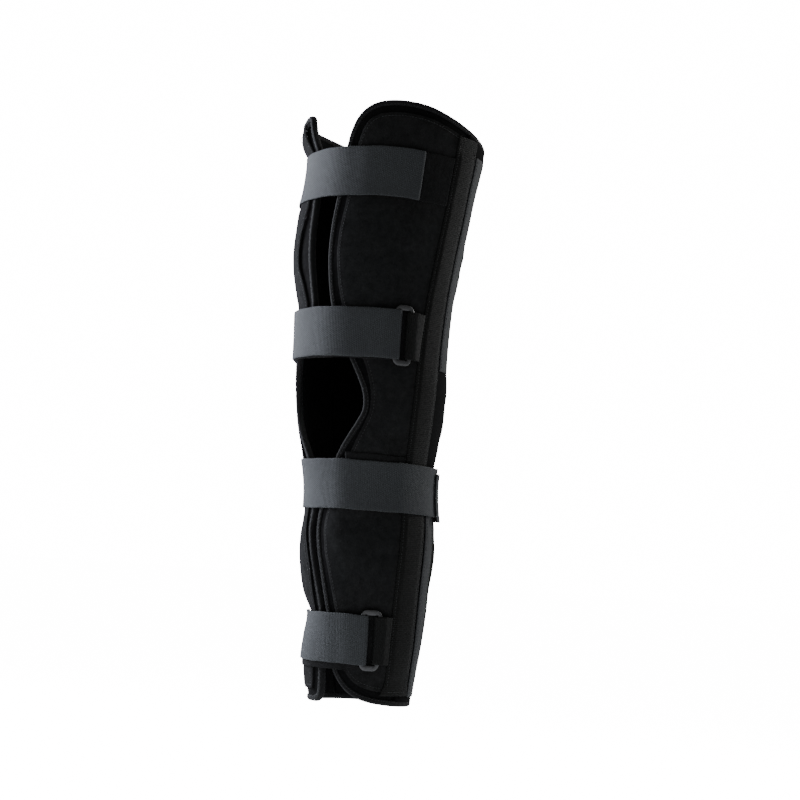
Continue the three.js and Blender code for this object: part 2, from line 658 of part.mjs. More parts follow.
// Slide loop: a flat loop with one slot, curved with the leg.
function slideLoop(name, up, lead) {
  const z = heightOf(up);
  const radius = wrapRadius(z);
  const { strapSide, webSide } = ringTurns(z, lead);
  const middle = (strapSide + webSide) / 2;
  const outer = roundedRectangle(new THREE.Shape(), RING_WIDTH, RING_LENGTH, RING_CORNER);
  const slotLength = STRAP_WIDTH + 2 * LAYER_GAP;
  outer.holes.push(roundedRectangle(new THREE.Path(), RING_SLOT, slotLength, RING_BEVEL));
  const geometry = new THREE.ExtrudeGeometry(outer, {
    depth: RING_THICKNESS - 2 * RING_BEVEL,
    curveSegments: RING_CORNER_STEPS,
    bevelThickness: RING_BEVEL,
    bevelSize: RING_BEVEL,
    bevelOffset: -RING_BEVEL,
    bevelSegments: 1,
  });
  const position = geometry.getAttribute('position');
  const point = new THREE.Vector3();
  for (let i = 0; i < position.count; i += 1) {
    point.fromBufferAttribute(position, i);
    const place = onLeg(middle + point.x / radius, z + point.y, RING_RISE + RING_BEVEL + point.z);
    position.setXYZ(i, place.x, place.y, place.z);
  }
  return meshOf(name, geometry, PLASTIC);
}

function belowKneePatch() {
  const z = heightOf(BELOW_KNEE_STRAP_UP);
  const radius = wrapRadius(z);
  const to = pocketFront(z) - LAYER_GAP / radius;
  const middle = OUTSIDE_RISE + PATCH_THICKNESS / 2;
  const path = runBetween(to - BELOW_KNEE_PATCH_LENGTH / radius, to, () => middle, []);
  path.at(-1).edge = 1;
  const height = STRAP_WIDTH + BELOW_KNEE_PATCH_SHOWS;
  const geometry = bandAlong(path, z + BELOW_KNEE_PATCH_SHOWS / 2, height, PATCH_THICKNESS, PATCH_ROWS);
  return meshOf('below_knee_patch', geometry, BLACK_WEBBING);
}

// Strap that goes once round the leg over both pockets, and laps over its own start at the back.
function belowKneeStrap() {
  const z = heightOf(BELOW_KNEE_STRAP_UP);
  const radius = wrapRadius(z);
  const front = pocketFront(z);
  const margin = RAMP_MARGIN / radius;
  const rear = front + (POCKET_WIDTH + REAR_STRIP_GAP + CALF_STRIP_WIDTH) / radius + margin;
  const patchFrom = front - (BELOW_KNEE_PATCH_LENGTH + LAYER_GAP) / radius - margin;
  const supports = [
    { from: patchFrom, to: front, over: OVER_PATCH_RISE },
    { from: front - margin, to: rear, over: OVER_POCKET_RISE },
    { from: -rear, to: margin - front, over: OVER_POCKET_RISE },
    { from: 2 * Math.PI - rear, to: 2 * Math.PI - front + margin, over: OVER_POCKET_RISE },
    { from: front - margin - 2 * Math.PI, to: rear - 2 * Math.PI, over: OVER_POCKET_RISE },
  ];
  const base = riseOver(supports, OUTSIDE_RISE, radius);
  const lap = STRAP_THICKNESS + LAYER_GAP;
  const ramp = STRAP_RAMP / radius;
  const lapFrom = radians(LOOP_START_TURN) - 2 * Math.PI + margin;
  const lapShare = (turn) => THREE.MathUtils.clamp((lapFrom + ramp - turn) / ramp, 0, 1);
  const dropFrom = -front;
  const dropTo = radians(LOOP_END_TURN);
  const path = runBetween(
    radians(LOOP_START_TURN),
    dropTo,
    (turn) => base(turn) + lap * lapShare(turn) + STRAP_THICKNESS / 2,
    [...bendsOf(supports, radius), lapFrom, lapFrom + ramp],
  );
  path.forEach((place) => {
    const share = (dropFrom - place.turn) / (dropFrom - dropTo);
    place.drop = STRAP_TAIL_DROP * THREE.MathUtils.clamp(share, 0, 1);
  });
  return meshOf('strap_below_knee', bandAlong(path, z, STRAP_WIDTH, STRAP_THICKNESS), GREY_WEBBING);
}

const immobilizer = new THREE.Group();
immobilizer.add(
  wing('wing_lateral', 1),
  wing('wing_medial', -1),
  cover('cover_lateral', 1, 0),
  cover('cover_medial', -1, COVER_BOW),
  backPanel(),
  edgeBinding(),
  stayPocket('stay_pocket_lateral', 1),
  stayPocket('stay_pocket_medial', -1),
  rearStrip('rear_strip_thigh_lateral', 1, THIGH_STRIP_WIDTH, THIGH_STRIP_UPS),
  rearStrip('rear_strip_thigh_medial', -1, THIGH_STRIP_WIDTH, THIGH_STRIP_UPS),
  rearStrip('rear_strip_calf_lateral', 1, CALF_STRIP_WIDTH, CALF_STRIP_UPS),
  rearStrip('rear_strip_calf_medial', -1, CALF_STRIP_WIDTH, CALF_STRIP_UPS),
  thighStrap(),
  thighPatch(),
  foldedStrap('strap_above_knee', ABOVE_KNEE_STRAP_UP, ABOVE_KNEE_RING_LEAD),
  ringWeb('ring_web_above_knee', ABOVE_KNEE_STRAP_UP, ABOVE_KNEE_RING_LEAD),
  slideLoop('ring_above_knee', ABOVE_KNEE_STRAP_UP, ABOVE_KNEE_RING_LEAD),
  belowKneeStrap(),
  belowKneePatch(),
  foldedStrap('strap_ankle', ANKLE_STRAP_UP, ANKLE_RING_LEAD),
  ringWeb('ring_web_ankle', ANKLE_STRAP_UP, ANKLE_RING_LEAD),
  slideLoop('ring_ankle', ANKLE_STRAP_UP, ANKLE_RING_LEAD),
);

export default immobilizer;
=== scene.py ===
"""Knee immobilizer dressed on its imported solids.

Shapes are worked out in millimetres and put into the meshes in metres. Every surface is laid round the
hollow by three numbers: the turn from the front line (positive towards the outer side), the height z, and
the rise above the wall of the hollow. A larger rise lies further out.
"""
import math

import bpy
import numpy as np
from mathutils import Matrix


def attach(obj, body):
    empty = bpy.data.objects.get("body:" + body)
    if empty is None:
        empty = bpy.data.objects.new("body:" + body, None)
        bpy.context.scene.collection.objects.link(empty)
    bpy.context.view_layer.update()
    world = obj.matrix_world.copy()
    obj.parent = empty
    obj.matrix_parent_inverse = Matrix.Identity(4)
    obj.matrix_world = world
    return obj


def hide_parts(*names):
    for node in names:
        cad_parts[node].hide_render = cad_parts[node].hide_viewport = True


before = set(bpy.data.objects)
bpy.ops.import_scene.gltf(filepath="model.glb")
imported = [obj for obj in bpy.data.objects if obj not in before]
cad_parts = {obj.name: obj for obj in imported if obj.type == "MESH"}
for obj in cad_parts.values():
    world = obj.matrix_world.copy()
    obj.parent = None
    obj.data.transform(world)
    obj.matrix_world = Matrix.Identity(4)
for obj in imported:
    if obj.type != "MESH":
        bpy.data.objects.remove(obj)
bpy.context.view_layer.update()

MM = 0.001
TURN = 2 * math.pi

# The hollow, as in the part
THIGH_LENGTH = 304
CALF_LENGTH = 306
THIGH_WIDTH = 174
KNEE_WIDTH = 131
CALF_WIDTH = 112
ANKLE_WIDTH = 81
DEPTH_OVER_WIDTH = 6
LEAN_SIDE = 4.8
LEAN_BACK = 10.5
SQUARENESS = 2.15
MEAN_RADIUS = (THIGH_WIDTH + ANKLE_WIDTH) / 4
SLEEVE_LENGTH = THIGH_LENGTH + CALF_LENGTH
SIDES = {"lateral": 1, "medial": -1}

# Sleeve
PAD_THICKNESS = 5
COVER_THICKNESS = 1.1
LAYER_GAP = 0.6
COVER_GAP = 0.8
BINDING_WIDTH = 6
PAD_TUCK = 3.5
PAD_RIM = 2.0
PAD_LIFT = 0.2
SEAM_PINCH = 0.35
PINCH_REACH = 7
COVER_SET_BACK = 13
COVER_BOW = 9
COVER_CALF_REACH = 5.5
COVER_KNEE_REACH = 6
COVER_RIM = 0.5
EDGE_ROLL = 0.5
EDGE_ROLL_REACH = 2.2
CUTOUT_HALF_WIDTH = 56
SEAM_GAP = 1
COVER_RISE = PAD_THICKNESS + COVER_GAP
SLEEVE_TOP = COVER_RISE + COVER_THICKNESS
OUTSIDE_RISE = SLEEVE_TOP + LAYER_GAP
BACK_THICKNESS = SLEEVE_TOP - 0.8
BACK_LIFT = 0.4
GATHER = 0.12
GATHER_PITCH = 5.3
GATHER_REACH = 3

# Rough sizes of the panels laid flat, for the steps and the rounded rims of their meshes
FLAP_WIDTH = 95.0
BACK_WIDTH = 190.0
BACK_LENGTH = SLEEVE_LENGTH - 20.0

# Stay pockets and the grey strips behind them. Each row of a pocket's slack is a sine: its size, its length
# over 2 pi, and how far it turns across the pocket.
POCKET_WIDTH = 30
POCKET_THICKNESS = 2.5
POCKET_END = 11
POCKET_CURL = 4.5
CURL_HEIGHT = 15
POCKET_RIM = 0.8
POCKET_FOOT = 0.1
POCKET_WEB = 1.5
STAY_WIDTH = 20
STAY_THICKNESS = 1.3
STAY_END = 14
STAY_END_FADE = 10
STAY_SHOULDER = 0.22
STAY_SPREAD = 0.8
POCKET_HEM = 9
POCKET_HEM_RISE = 0.5
POCKET_HEM_FADE = 2
POCKET_SLACK = ((0.15, 17.0, 2), (0.1, 7.3, -1))
REAR_STRIP_GAP = 3
REAR_STRIP_THICKNESS = 1.4
THIGH_STRIP_WIDTH = 19
CALF_STRIP_WIDTH = 14
STRIP_RIM = 0.6
STRIP_CROWN = 0.2
STRIP_WAVE = 0.08
STRIP_WAVE_REACH = 9.0

# Straps, patches, webs and slide loops. Each row of the edge waves is a sine: its share, its length over
# 2 pi, and its lead.
STRAP_WIDTH = 50
STRAP_THICKNESS = 1.5
SOFT_RAMP = 26
STRAP_SELVEDGE = 0.75
STRAP_CUP = 0.12
STRAP_END_RIM = 0.6
STRAP_WAVE = 0.25
PATCH_WAVE = 0.35
EDGE_WAVES = ((1.0, 11.0, 0.0), (0.6, 4.7, 1.0))
PATCH_THICKNESS = 1.2
PATCH_SINK = 0.3
PATCH_OVERLAP = 47
BELOW_KNEE_PATCH_LENGTH = 59
BELOW_KNEE_PATCH_SHOWS = 7
WEB_WIDTH = 48
THIGH_STRAP_END_GAP = 36
STRAP_TAIL_DROP = 6
RAMP_MARGIN = 3
EASING = 0.35
PAST_BAR = 1.5
UNDER_LAYER_SHOWS = {"above_knee": 1.5, "ankle": 6.5}
RING_LENGTH = 61
RING_BAR = 4
RING_SLOT = 11
RING_WIDTH = RING_SLOT + 2 * RING_BAR
RING_THICKNESS = 2.8
RING_CORNER = 6
RING_LEADS = {"above_knee": 13, "ankle": 10.5}
RING_BEVEL = 0.6
LOOP_POWER = 3
END_BAR_POWER = 4
OVER_PATCH_RISE = OUTSIDE_RISE + PATCH_THICKNESS + LAYER_GAP
OVER_POCKET_RISE = OUTSIDE_RISE + POCKET_THICKNESS + LAYER_GAP
RING_RISE = OUTSIDE_RISE + STRAP_THICKNESS + LAYER_GAP
OVER_RING_RISE = RING_RISE + RING_THICKNESS + LAYER_GAP
UNDER_LOOP = OUTSIDE_RISE + STRAP_THICKNESS / 2
OVER_LOOP = OVER_RING_RISE + STRAP_THICKNESS / 2

# Sections of the hollow from the lower end up: share of the length above or below the knee, width, lean
SECTIONS = np.array([
    (-1.0, ANKLE_WIDTH, 1.0), (-0.78, ANKLE_WIDTH * 1.185, 0.9), (-0.52, CALF_WIDTH, 0.58),
    (-0.275, CALF_WIDTH, 0.48), (0.0, KNEE_WIDTH, -0.11), (0.225, KNEE_WIDTH * 1.025, -0.36),
    (0.485, THIGH_WIDTH * 0.854, -0.37), (0.75, THIGH_WIDTH * 0.92, 0.08), (1.0, THIGH_WIDTH, 0.2),
])

# Front edges of the flaps: share of the length, and distance from the front line over the cut-out's half
# width
LATERAL_FRONT = [
    (-0.89, 0.25), (-0.78, 0.19), (-0.69, 0.13), (-0.565, 0.03), (-0.497, -0.05), (-0.428, -0.11),
    (-0.36, -0.07), (-0.278, 0.09), (-0.176, 0.4), (-0.114, 0.66), (-0.07, 0.85), (-0.03, 0.98),
    (0.018, 1.0), (0.075, 0.9), (0.135, 0.74), (0.22, 0.53), (0.303, 0.36), (0.43, 0.28), (0.58, 0.3),
    (0.743, 0.43), (0.878, 0.58),
]
MEDIAL_FRONT = [
    (-0.93, 0.01), (-0.784, -0.02), (-0.69, -0.04), (-0.62, 0.02), (-0.56, 0.09), (-0.49, 0.19),
    (-0.428, 0.26), (-0.36, 0.2), (-0.278, 0.2), (-0.176, 0.43), (-0.114, 0.67), (-0.07, 0.86),
    (-0.03, 0.98), (0.018, 1.0), (0.075, 0.9), (0.135, 0.72), (0.22, 0.36), (0.3, 0.08), (0.38, 0.11),
    (0.474, 0.17), (0.57, 0.2), (0.655, 0.18), (0.76, 0.18), (0.85, 0.26), (0.925, 0.42),
]

# Ends of the sleeve: turn in degrees, or SEAM for the seam under the stay pocket, and share of the length.
# The first row is the front corner of the flap.
SEAM = None
LATERAL_TOP = [
    (27, 0.948), (34.5, 0.98), (42, 0.994), (53, 1.0), (70, 0.995), (86, 0.977), (SEAM, 0.955),
    (128, 0.928),
]
MEDIAL_TOP = [
    (17, 0.968), (22.5, 0.971), (31, 0.963), (46, 0.966), (66, 0.973), (86, 0.968), (SEAM, 0.955),
    (128, 0.928),
]
LATERAL_BOTTOM = [
    (22, -0.924), (32, -0.954), (45, -0.975), (62, -0.988), (80, -0.994), (SEAM, -0.997), (130, -1.0),
]
MEDIAL_BOTTOM = [
    (4, -0.978), (12, -0.996), (26, -1.0), (45, -1.0), (70, -1.0), (SEAM, -1.0), (130, -1.0),
]
FLAP_ENDS = {"lateral": (LATERAL_BOTTOM, LATERAL_TOP), "medial": (MEDIAL_BOTTOM, MEDIAL_TOP)}
BACK_TOP_UP = 0.908
BACK_BOTTOM_UP = -1.0
SEAM_TURNS = np.array([
    (-1.0, 94), (-0.7, 91), (-0.4, 93), (0.0, 96), (0.24, 100), (0.5, 103), (1.0, 103),
])

# Middle of each strap as a share of the length, and turns of hidden ends in degrees
STRAP_UPS = {"thigh": 0.757, "above_knee": 0.222, "below_knee": -0.278, "ankle": -0.782}
FOLDED_TAIL_TURN = -58
LOOP_START_TURN = 200
LOOP_END_TURN = -240
THIGH_STRIP_UPS = (0.128, 0.87)
CALF_STRIP_UPS = (-0.965, -0.33)
SLANT_REACH = 8

# How far the soft sleeve stands proud between the straps, from the lower end up
SWELLS = {"below_ankle": 1.0, "calf": 1.0, "knee": 0.8, "thigh": 1.6, "top": 0.4}
PUCKER_CAP = 1.8
LIFTS = {
    "lateral": {"thigh": 1.2, "top": 0.8, "calf": 0.6},
    "medial": {"thigh": 1.0, "top": 2.2, "calf": 0.8},
}
LIFT_REACH = 20

# Two upright lines along which the worn splint stands off its plain form: the turn of the line and its
# reach sideways in degrees, and rows of height and rise
RELIEF = [
    (137, 50, [
        (-312, 2.0), (-291, 1.2), (-268, 1.8), (-244, 3.2), (-181, 3.1), (-124, 3.1), (-98, 0.2),
        (-71, -1.4), (-50, -0.9), (-36, 0.3), (-8, 1.9), (24, 3.0), (55, 2.9), (87, 2.1), (118, 1.0),
        (150, 1.1), (197, 1.8), (228, 2.1), (260, 3.8), (276, 3.2), (302, 2.0),
    ]),
    (-43, 34, [
        (-306, 4.0), (-285, 4.2), (-266, 5.0), (-240, 0.2), (-216, -5.2), (-206, -2.8), (-192, -0.7),
        (-170, 0.0), (88, 0.0), (101, -1.2), (122, -0.2), (140, 0.8), (165, 0.8), (190, 0.4), (206, 0.0),
        (217, -2.0), (233, -4.3), (248, -6.0), (256, -6.2), (266, -2.2), (285, -1.0), (304, -1.0),
    ]),
]

# How far the swell and the hold of the cloth reach, and the share of the softness that a hold takes away
FIELD_MARGIN = 8
SPAN_MARGIN = 6
SWELL_REACH = 30
HELD_SHARE = 0.75
HOLD_FADE = 9
SOFT_FADE = 12
STAY_MARGIN = 1
STRIP_MARGIN = 2

# Cloth that is blown out between the places where it is held
PIN_LEVELS = (0.25, 0.5, 0.75, 1.0)
PIN_REACH = 0.2
CLOTH_STEPS = 20
AVERAGING_ROUNDS = 3
CLOTH_SETTINGS = {
    "vertex_group_mass": "held", "quality": 6, "mass": 0.25, "tension_stiffness": 12,
    "compression_stiffness": 12, "shear_stiffness": 6, "bending_stiffness": 0.35, "shrink_min": -0.035,
    "use_pressure": True, "uniform_pressure_force": 3,
}

# Stitches, and the rows that they run in
STITCH_LENGTH = 2.6
STITCH_PITCH = 3.4
THREAD = 0.65
THREAD_DIP = 0.5
THREAD_TIP = 0.05
THREAD_BLUNTNESS = 0.6
ROW_END = 3
COVER_HEM = 3.5
TAPE_ROW_INSET = 4.6
TAPE_ROW_RISE = 6.5
POCKET_ROWS = (-12.5, 11.0, 13.0)
POCKET_ROW_RISE = 1.65
POCKET_LOW_ROW_UP = 4
POCKET_TOP_ROW_DOWN = 8
POCKET_END_ROW_HALF = 12
POCKET_END_ROW_RISE = 2.15
STRIP_ROW_INSET = 2.2
STRIP_ROW_RISE = 1.55

# Mesh steps in millimetres, but along a strap in degrees of turn
FLAP_STEP = 3.2
STRAP_STEP = 1.2
STRAP_WIDTH_STEP = 2.4
UPRIGHT_WIDTH_STEP = 1.6
UPRIGHT_STEP = 3.0

# Counts of points along curves and paths
RIM_POINTS = 4
OUTLINE_SAMPLES = 700
FIELD_COLUMNS = 160
FIELD_ROWS = 170
COVER_ROW_SAMPLES = 900
TAPE_STATIONS = 1700
TAPE_ROW_SAMPLES = 2400
POCKET_ROW_SAMPLES = 400
POCKET_END_ROW_SAMPLES = 30
STRIP_ROW_SAMPLES = 260
FOLD_POINTS = 15
LOOP_ARC_POINTS = 9
LOOP_SECTION_POINTS = 16
STITCH_RINGS = 5
STITCH_SIDES = 6

# Step of the outline's count that its direction is read over, and how many of its samples are compared at
# a time
OUTLINE_NUDGE = 0.02
OUTLINE_PART = 50


# Curves

def hermite(p, start, end, start_slope, end_slope):
    """Cubic from start to end as p goes from 0 to 1, leaving with one slope and arriving with the other."""
    square = -3 * start + 3 * end - 2 * start_slope - end_slope
    cube = 2 * start - 2 * end + start_slope + end_slope
    return start + p * (start_slope + p * (square + p * cube))


def table_curve(knots, values):
    """Function through a table: a cubic on each span, with the mean slope of the two spans at each knot."""
    knots, values = np.asarray(knots, float), np.asarray(values, float)
    spans = np.diff(values) / np.diff(knots)
    slopes = np.concatenate([spans[:1], (spans[1:] + spans[:-1]) / 2, spans[-1:]])

    def curve(t):
        t = np.clip(t, knots[0], knots[-1])
        k = np.clip(np.searchsorted(knots, t, side="right") - 1, 0, len(spans) - 1)
        width = knots[k + 1] - knots[k]
        return hermite(
            (t - knots[k]) / width, values[k], values[k + 1], slopes[k] * width, slopes[k + 1] * width,
        )

    return curve


def closed_curve(points):
    """Closed centripetal Catmull-Rom curve: a cubic between neighbours, with slopes weighed by the square
    roots of the three chords round it. Its parameter counts the points."""
    points = np.asarray(points, float)
    total = len(points)
    roots = np.sqrt(np.linalg.norm(np.roll(points, -1, 0) - points, axis=1))

    def curve(count):
        whole = np.floor(count)
        k = whole.astype(int)
        p = (count - whole)[..., None]
        before, here, after, beyond = (points[(k + i) % total] for i in (-1, 0, 1, 2))
        a, b, c = (roots[(k + i) % total][..., None] for i in (-1, 0, 1))
        leave = ((here - before) / a - (after - before) / (a + b) + (after - here) / b) * b
        arrive = ((after - here) / b - (beyond - here) / (b + c) + (beyond - after) / c) * b
        return hermite(p, here, after, leave, arrive)

    return curve


def smooth(share):
    """0 below 0, 1 above 1 and 3s^2 - 2s^3 between."""
    s = np.clip(share, 0, 1)
    return s * s * (3 - 2 * s)


def height_of(up):
    """Height of a share of the length above the knee, or below it where the share is negative."""
    up = np.asarray(up, float)
    return up * np.where(up < 0, CALF_LENGTH, THIGH_LENGTH)


STRAP_HEIGHTS = {name: float(height_of(up)) for name, up in STRAP_UPS.items()}
section_width = table_curve(height_of(SECTIONS[:, 0]), SECTIONS[:, 1])
section_lean = table_curve(height_of(SECTIONS[:, 0]), SECTIONS[:, 2])
seam_degrees = table_curve(height_of(SEAM_TURNS[:, 0]), SEAM_TURNS[:, 1])


def wrap_radius(z):
    """Radius that turns a distance round the outside of the sleeve into an angle."""
    return (section_width(z) + DEPTH_OVER_WIDTH / 2) / 2 + SLEEVE_TOP


def seam_turn(z):
    """Turn of the seam under a stay pocket."""
    return np.radians(seam_degrees(z))


def pocket_front(z):
    """Turn of a stay pocket's front edge, half its width before the seam."""
    return seam_turn(z) - POCKET_WIDTH / 2 / wrap_radius(z)


def from_front(turn):
    """Size of a turn from the front line, the shorter way round."""
    return np.abs((np.asarray(turn) + math.pi) % TURN - math.pi)


def strip_middle(width):
    """Function from a height to the turn of the middle of a grey strip of that width."""
    behind = POCKET_WIDTH / 2 + REAR_STRIP_GAP + width / 2
    return lambda z: seam_turn(z) + behind / wrap_radius(z)


RELIEF_LINES = [
    (math.radians(turn), math.radians(reach), table_curve(*zip(*rows))) for turn, reach, rows in RELIEF
]


def relief(turn, z):
    """Sum over the lines of the rise at that height, fading sideways as exp(-(away / reach)^2)."""
    total = np.zeros_like(z)
    for line_turn, reach, rise_at in RELIEF_LINES:
        total = total + rise_at(z) * np.exp(-(from_front(turn - line_turn) / reach) ** 2)
    return total


def on_form(turn, z, rise):
    """Point on a slightly squared ellipse, |x/a|^p + |y/b|^p = 1, whose half axes grow by the rise and the
    relief."""
    turn, z, rise = np.broadcast_arrays(*(np.asarray(v, float) for v in (turn, z, rise)))
    rise = rise + relief(turn, z)
    width, lean = section_width(z), section_lean(z)
    sine, cosine = np.sin(turn), np.cos(turn)
    stretch = (np.abs(sine) ** SQUARENESS + np.abs(cosine) ** SQUARENESS) ** (-1 / SQUARENESS)
    x = LEAN_SIDE * lean + (width / 2 + rise) * stretch * sine
    y = LEAN_BACK * lean - ((width + DEPTH_OVER_WIDTH) / 2 + rise) * stretch * cosine
    return np.stack([x, y, z], -1)


# Outline of the sleeve laid flat

def outline_table():
    """Control points (turn times the mean radius, z) once round the sleeve, with the counts of the corners
    and seams: the lateral lower end, front and top, then the medial ones, mirrored."""
    points, marks = [(math.pi * MEAN_RADIUS, float(height_of(BACK_BOTTOM_UP)))], {}

    def place(turn, z, side):
        points.append(((turn if side > 0 else TURN - turn) * MEAN_RADIUS, z))

    def place_end(rows, side, name):
        corner = rows[0]
        for turn, up in rows if name in ("lateral_top", "medial_bottom") else rows[::-1]:
            z = float(height_of(up))
            if turn is SEAM:
                marks[name + "_seam"] = len(points)
            if (turn, up) == corner:
                marks[name + "_corner"] = len(points)
            place(float(seam_turn(z)) if turn is SEAM else math.radians(turn), z, side)

    def place_front(rows, side):
        for up, off in rows:
            z = float(height_of(up))
            place(off * CUTOUT_HALF_WIDTH / float(wrap_radius(z)), z, side)

    place_end(LATERAL_BOTTOM, 1, "lateral_bottom")
    place_front(LATERAL_FRONT, 1)
    place_end(LATERAL_TOP, 1, "lateral_top")
    points.append((math.pi * MEAN_RADIUS, float(height_of(BACK_TOP_UP))))
    place_end(MEDIAL_TOP, -1, "medial_top")
    place_front(MEDIAL_FRONT[::-1], -1)
    place_end(MEDIAL_BOTTOM, -1, "medial_bottom")
    return np.array(points), marks


OUTLINE_POINTS, MARKS = outline_table()
OUTLINE_TOTAL = len(OUTLINE_POINTS)
OUTLINE = closed_curve(OUTLINE_POINTS)


def outline_at(count):
    """Turn and height of the outline where its parameter has a count."""
    flat = OUTLINE(np.asarray(count, float))
    return flat[..., 0] / MEAN_RADIUS, flat[..., 1]


def inset_at(count, inset):
    """Place moved inwards from the outline, square to it, by a distance over the surface."""
    turn, z = outline_at(count)
    before, low = outline_at(np.asarray(count) - OUTLINE_NUDGE)
    after, high = outline_at(np.asarray(count) + OUTLINE_NUDGE)
    radius = wrap_radius(z)
    run, climb = (after - before) * radius, high - low
    length = np.hypot(run, climb)
    return turn + climb / length * inset / radius, z - run / length * inset


def even_count(start, end):
    """Function from a share of the outline's length between two counts to the count there."""
    counts = np.linspace(start, end, OUTLINE_SAMPLES)
    turn, z = outline_at(counts)
    steps = np.hypot(np.diff(turn) * wrap_radius(z[1:]), np.diff(z))
    lengths = np.concatenate([[0], np.cumsum(steps)])
    return lambda share: np.interp(np.asarray(share) * lengths[-1], lengths, counts)


def flap_places(name, across, along, inset_of):
    """Turn and height over a flap, blended from its four edges (a Coons patch): the front, the two ends
    and the seam. across goes from the front edge to the seam and along from the lower end up."""
    low_corner, top_corner = MARKS[name + "_bottom_corner"], MARKS[name + "_top_corner"]

    def moved(count):
        return np.stack(inset_at(count, inset_of(outline_at(count)[1])))

    def rear_at(z):
        turn = seam_turn(z) - SEAM_GAP / 2 / wrap_radius(z)
        return np.stack([turn if SIDES[name] > 0 else TURN - turn, z])

    front = moved(even_count(low_corner, top_corner)(along))
    ends = []
    for corner, seam in ((low_corner, "_bottom_seam"), (top_corner, "_top_seam")):
        edge_of = even_count(corner, MARKS[name + seam])
        edge, last = moved(edge_of(across)), moved(edge_of(np.array([1.0])))
        edge[0] += (rear_at(last[1])[0] - last[0]) * across
        ends.append(edge)
    low, high = ends
    rear = rear_at(low[1, -1] + (high[1, -1] - low[1, -1]) * along)
    s, v = across[None, :], along[:, None]
    return [
        (1 - s) * front[k][:, None] + s * rear[k][:, None]
        + (1 - v) * low[k][None, :] + v * high[k][None, :]
        - (1 - s) * ((1 - v) * front[k, 0] + v * front[k, -1])
        - s * ((1 - v) * low[k, -1] + v * high[k, -1])
        for k in (0, 1)
    ]


def spaced(length, step, rim):
    """Shares from 0 to 1 in even steps, with closer ones inside a rounded rim at each end."""
    edge = rim * (1 - np.cos(np.linspace(0, math.pi / 2, RIM_POINTS)))
    inner = np.linspace(rim, length - rim, max(3, int((length - 2 * rim) / step) + 2))
    return np.concatenate([edge[:-1], inner, length - edge[:-1][::-1]]) / length


# Softness

def strap_spans():
    """Height ranges between the straps, by name, from the lower end up."""
    half = STRAP_WIDTH / 2
    thigh, above, below, ankle = (STRAP_HEIGHTS[k] for k in ("thigh", "above_knee", "below_knee", "ankle"))
    return {
        "below_ankle": (-CALF_LENGTH - SPAN_MARGIN, ankle - half), "calf": (ankle + half, below - half),
        "knee": (below + half, above - half), "thigh": (above + half, thigh - half),
        "top": (thigh + half, THIGH_LENGTH + SPAN_MARGIN),
    }


SPANS = strap_spans()


def between_straps(z, amounts):
    """Sum over the spans of amount * sin^2 of the share of the span, so it is 0 under each strap."""
    total = np.zeros_like(np.asarray(z, float))
    for name, amount in amounts.items():
        low, high = SPANS[name]
        total = total + amount * np.sin(math.pi * np.clip((z - low) / (high - low), 0, 1)) ** 2
    return total


def from_seam(turn, z):
    """Distance over the surface from the nearer seam under a stay pocket."""
    return np.abs(from_front(turn) - seam_turn(z)) * wrap_radius(z)


def from_outline(turn, z):
    """Distance over the surface from the nearest of many points along the outline."""
    edge_turn, edge_z = outline_at(np.linspace(0, OUTLINE_TOTAL, OUTLINE_SAMPLES))
    nearest = np.full(np.shape(turn), np.inf)
    radius = wrap_radius(z)
    for start in range(0, OUTLINE_SAMPLES, OUTLINE_PART):
        part = slice(start, start + OUTLINE_PART)
        run = (turn[..., None] - edge_turn[part]) * radius[..., None]
        away = np.hypot(run, z[..., None] - edge_z[part]).min(-1)
        nearest = np.minimum(nearest, away)
    return nearest


FIELD_TURNS = np.linspace(0, TURN, FIELD_COLUMNS + 1)[:-1]
FIELD_HEIGHTS = np.linspace(-CALF_LENGTH - FIELD_MARGIN, THIGH_LENGTH + FIELD_MARGIN, FIELD_ROWS)


def hold(turn, z):
    """How firmly the cloth is held, from 0 to 1: under the straps, along the stays and the strips behind
    them, and at the bound edge."""
    behind = np.abs(from_front(turn) - strip_middle(THIGH_STRIP_WIDTH)(z)) * wrap_radius(z)
    firm = np.maximum(
        1 - smooth((from_seam(turn, z) - POCKET_WIDTH / 2 - STAY_MARGIN) / HOLD_FADE),
        1 - smooth((behind - THIGH_STRIP_WIDTH / 2 - STRIP_MARGIN) / SOFT_FADE),
    )
    for height in STRAP_HEIGHTS.values():
        firm = np.maximum(firm, 1 - smooth((np.abs(z - height) - STRAP_WIDTH / 2) / HOLD_FADE))
    return np.maximum(firm, 1 - smooth((from_outline(turn, z) - BINDING_WIDTH) / SOFT_FADE))


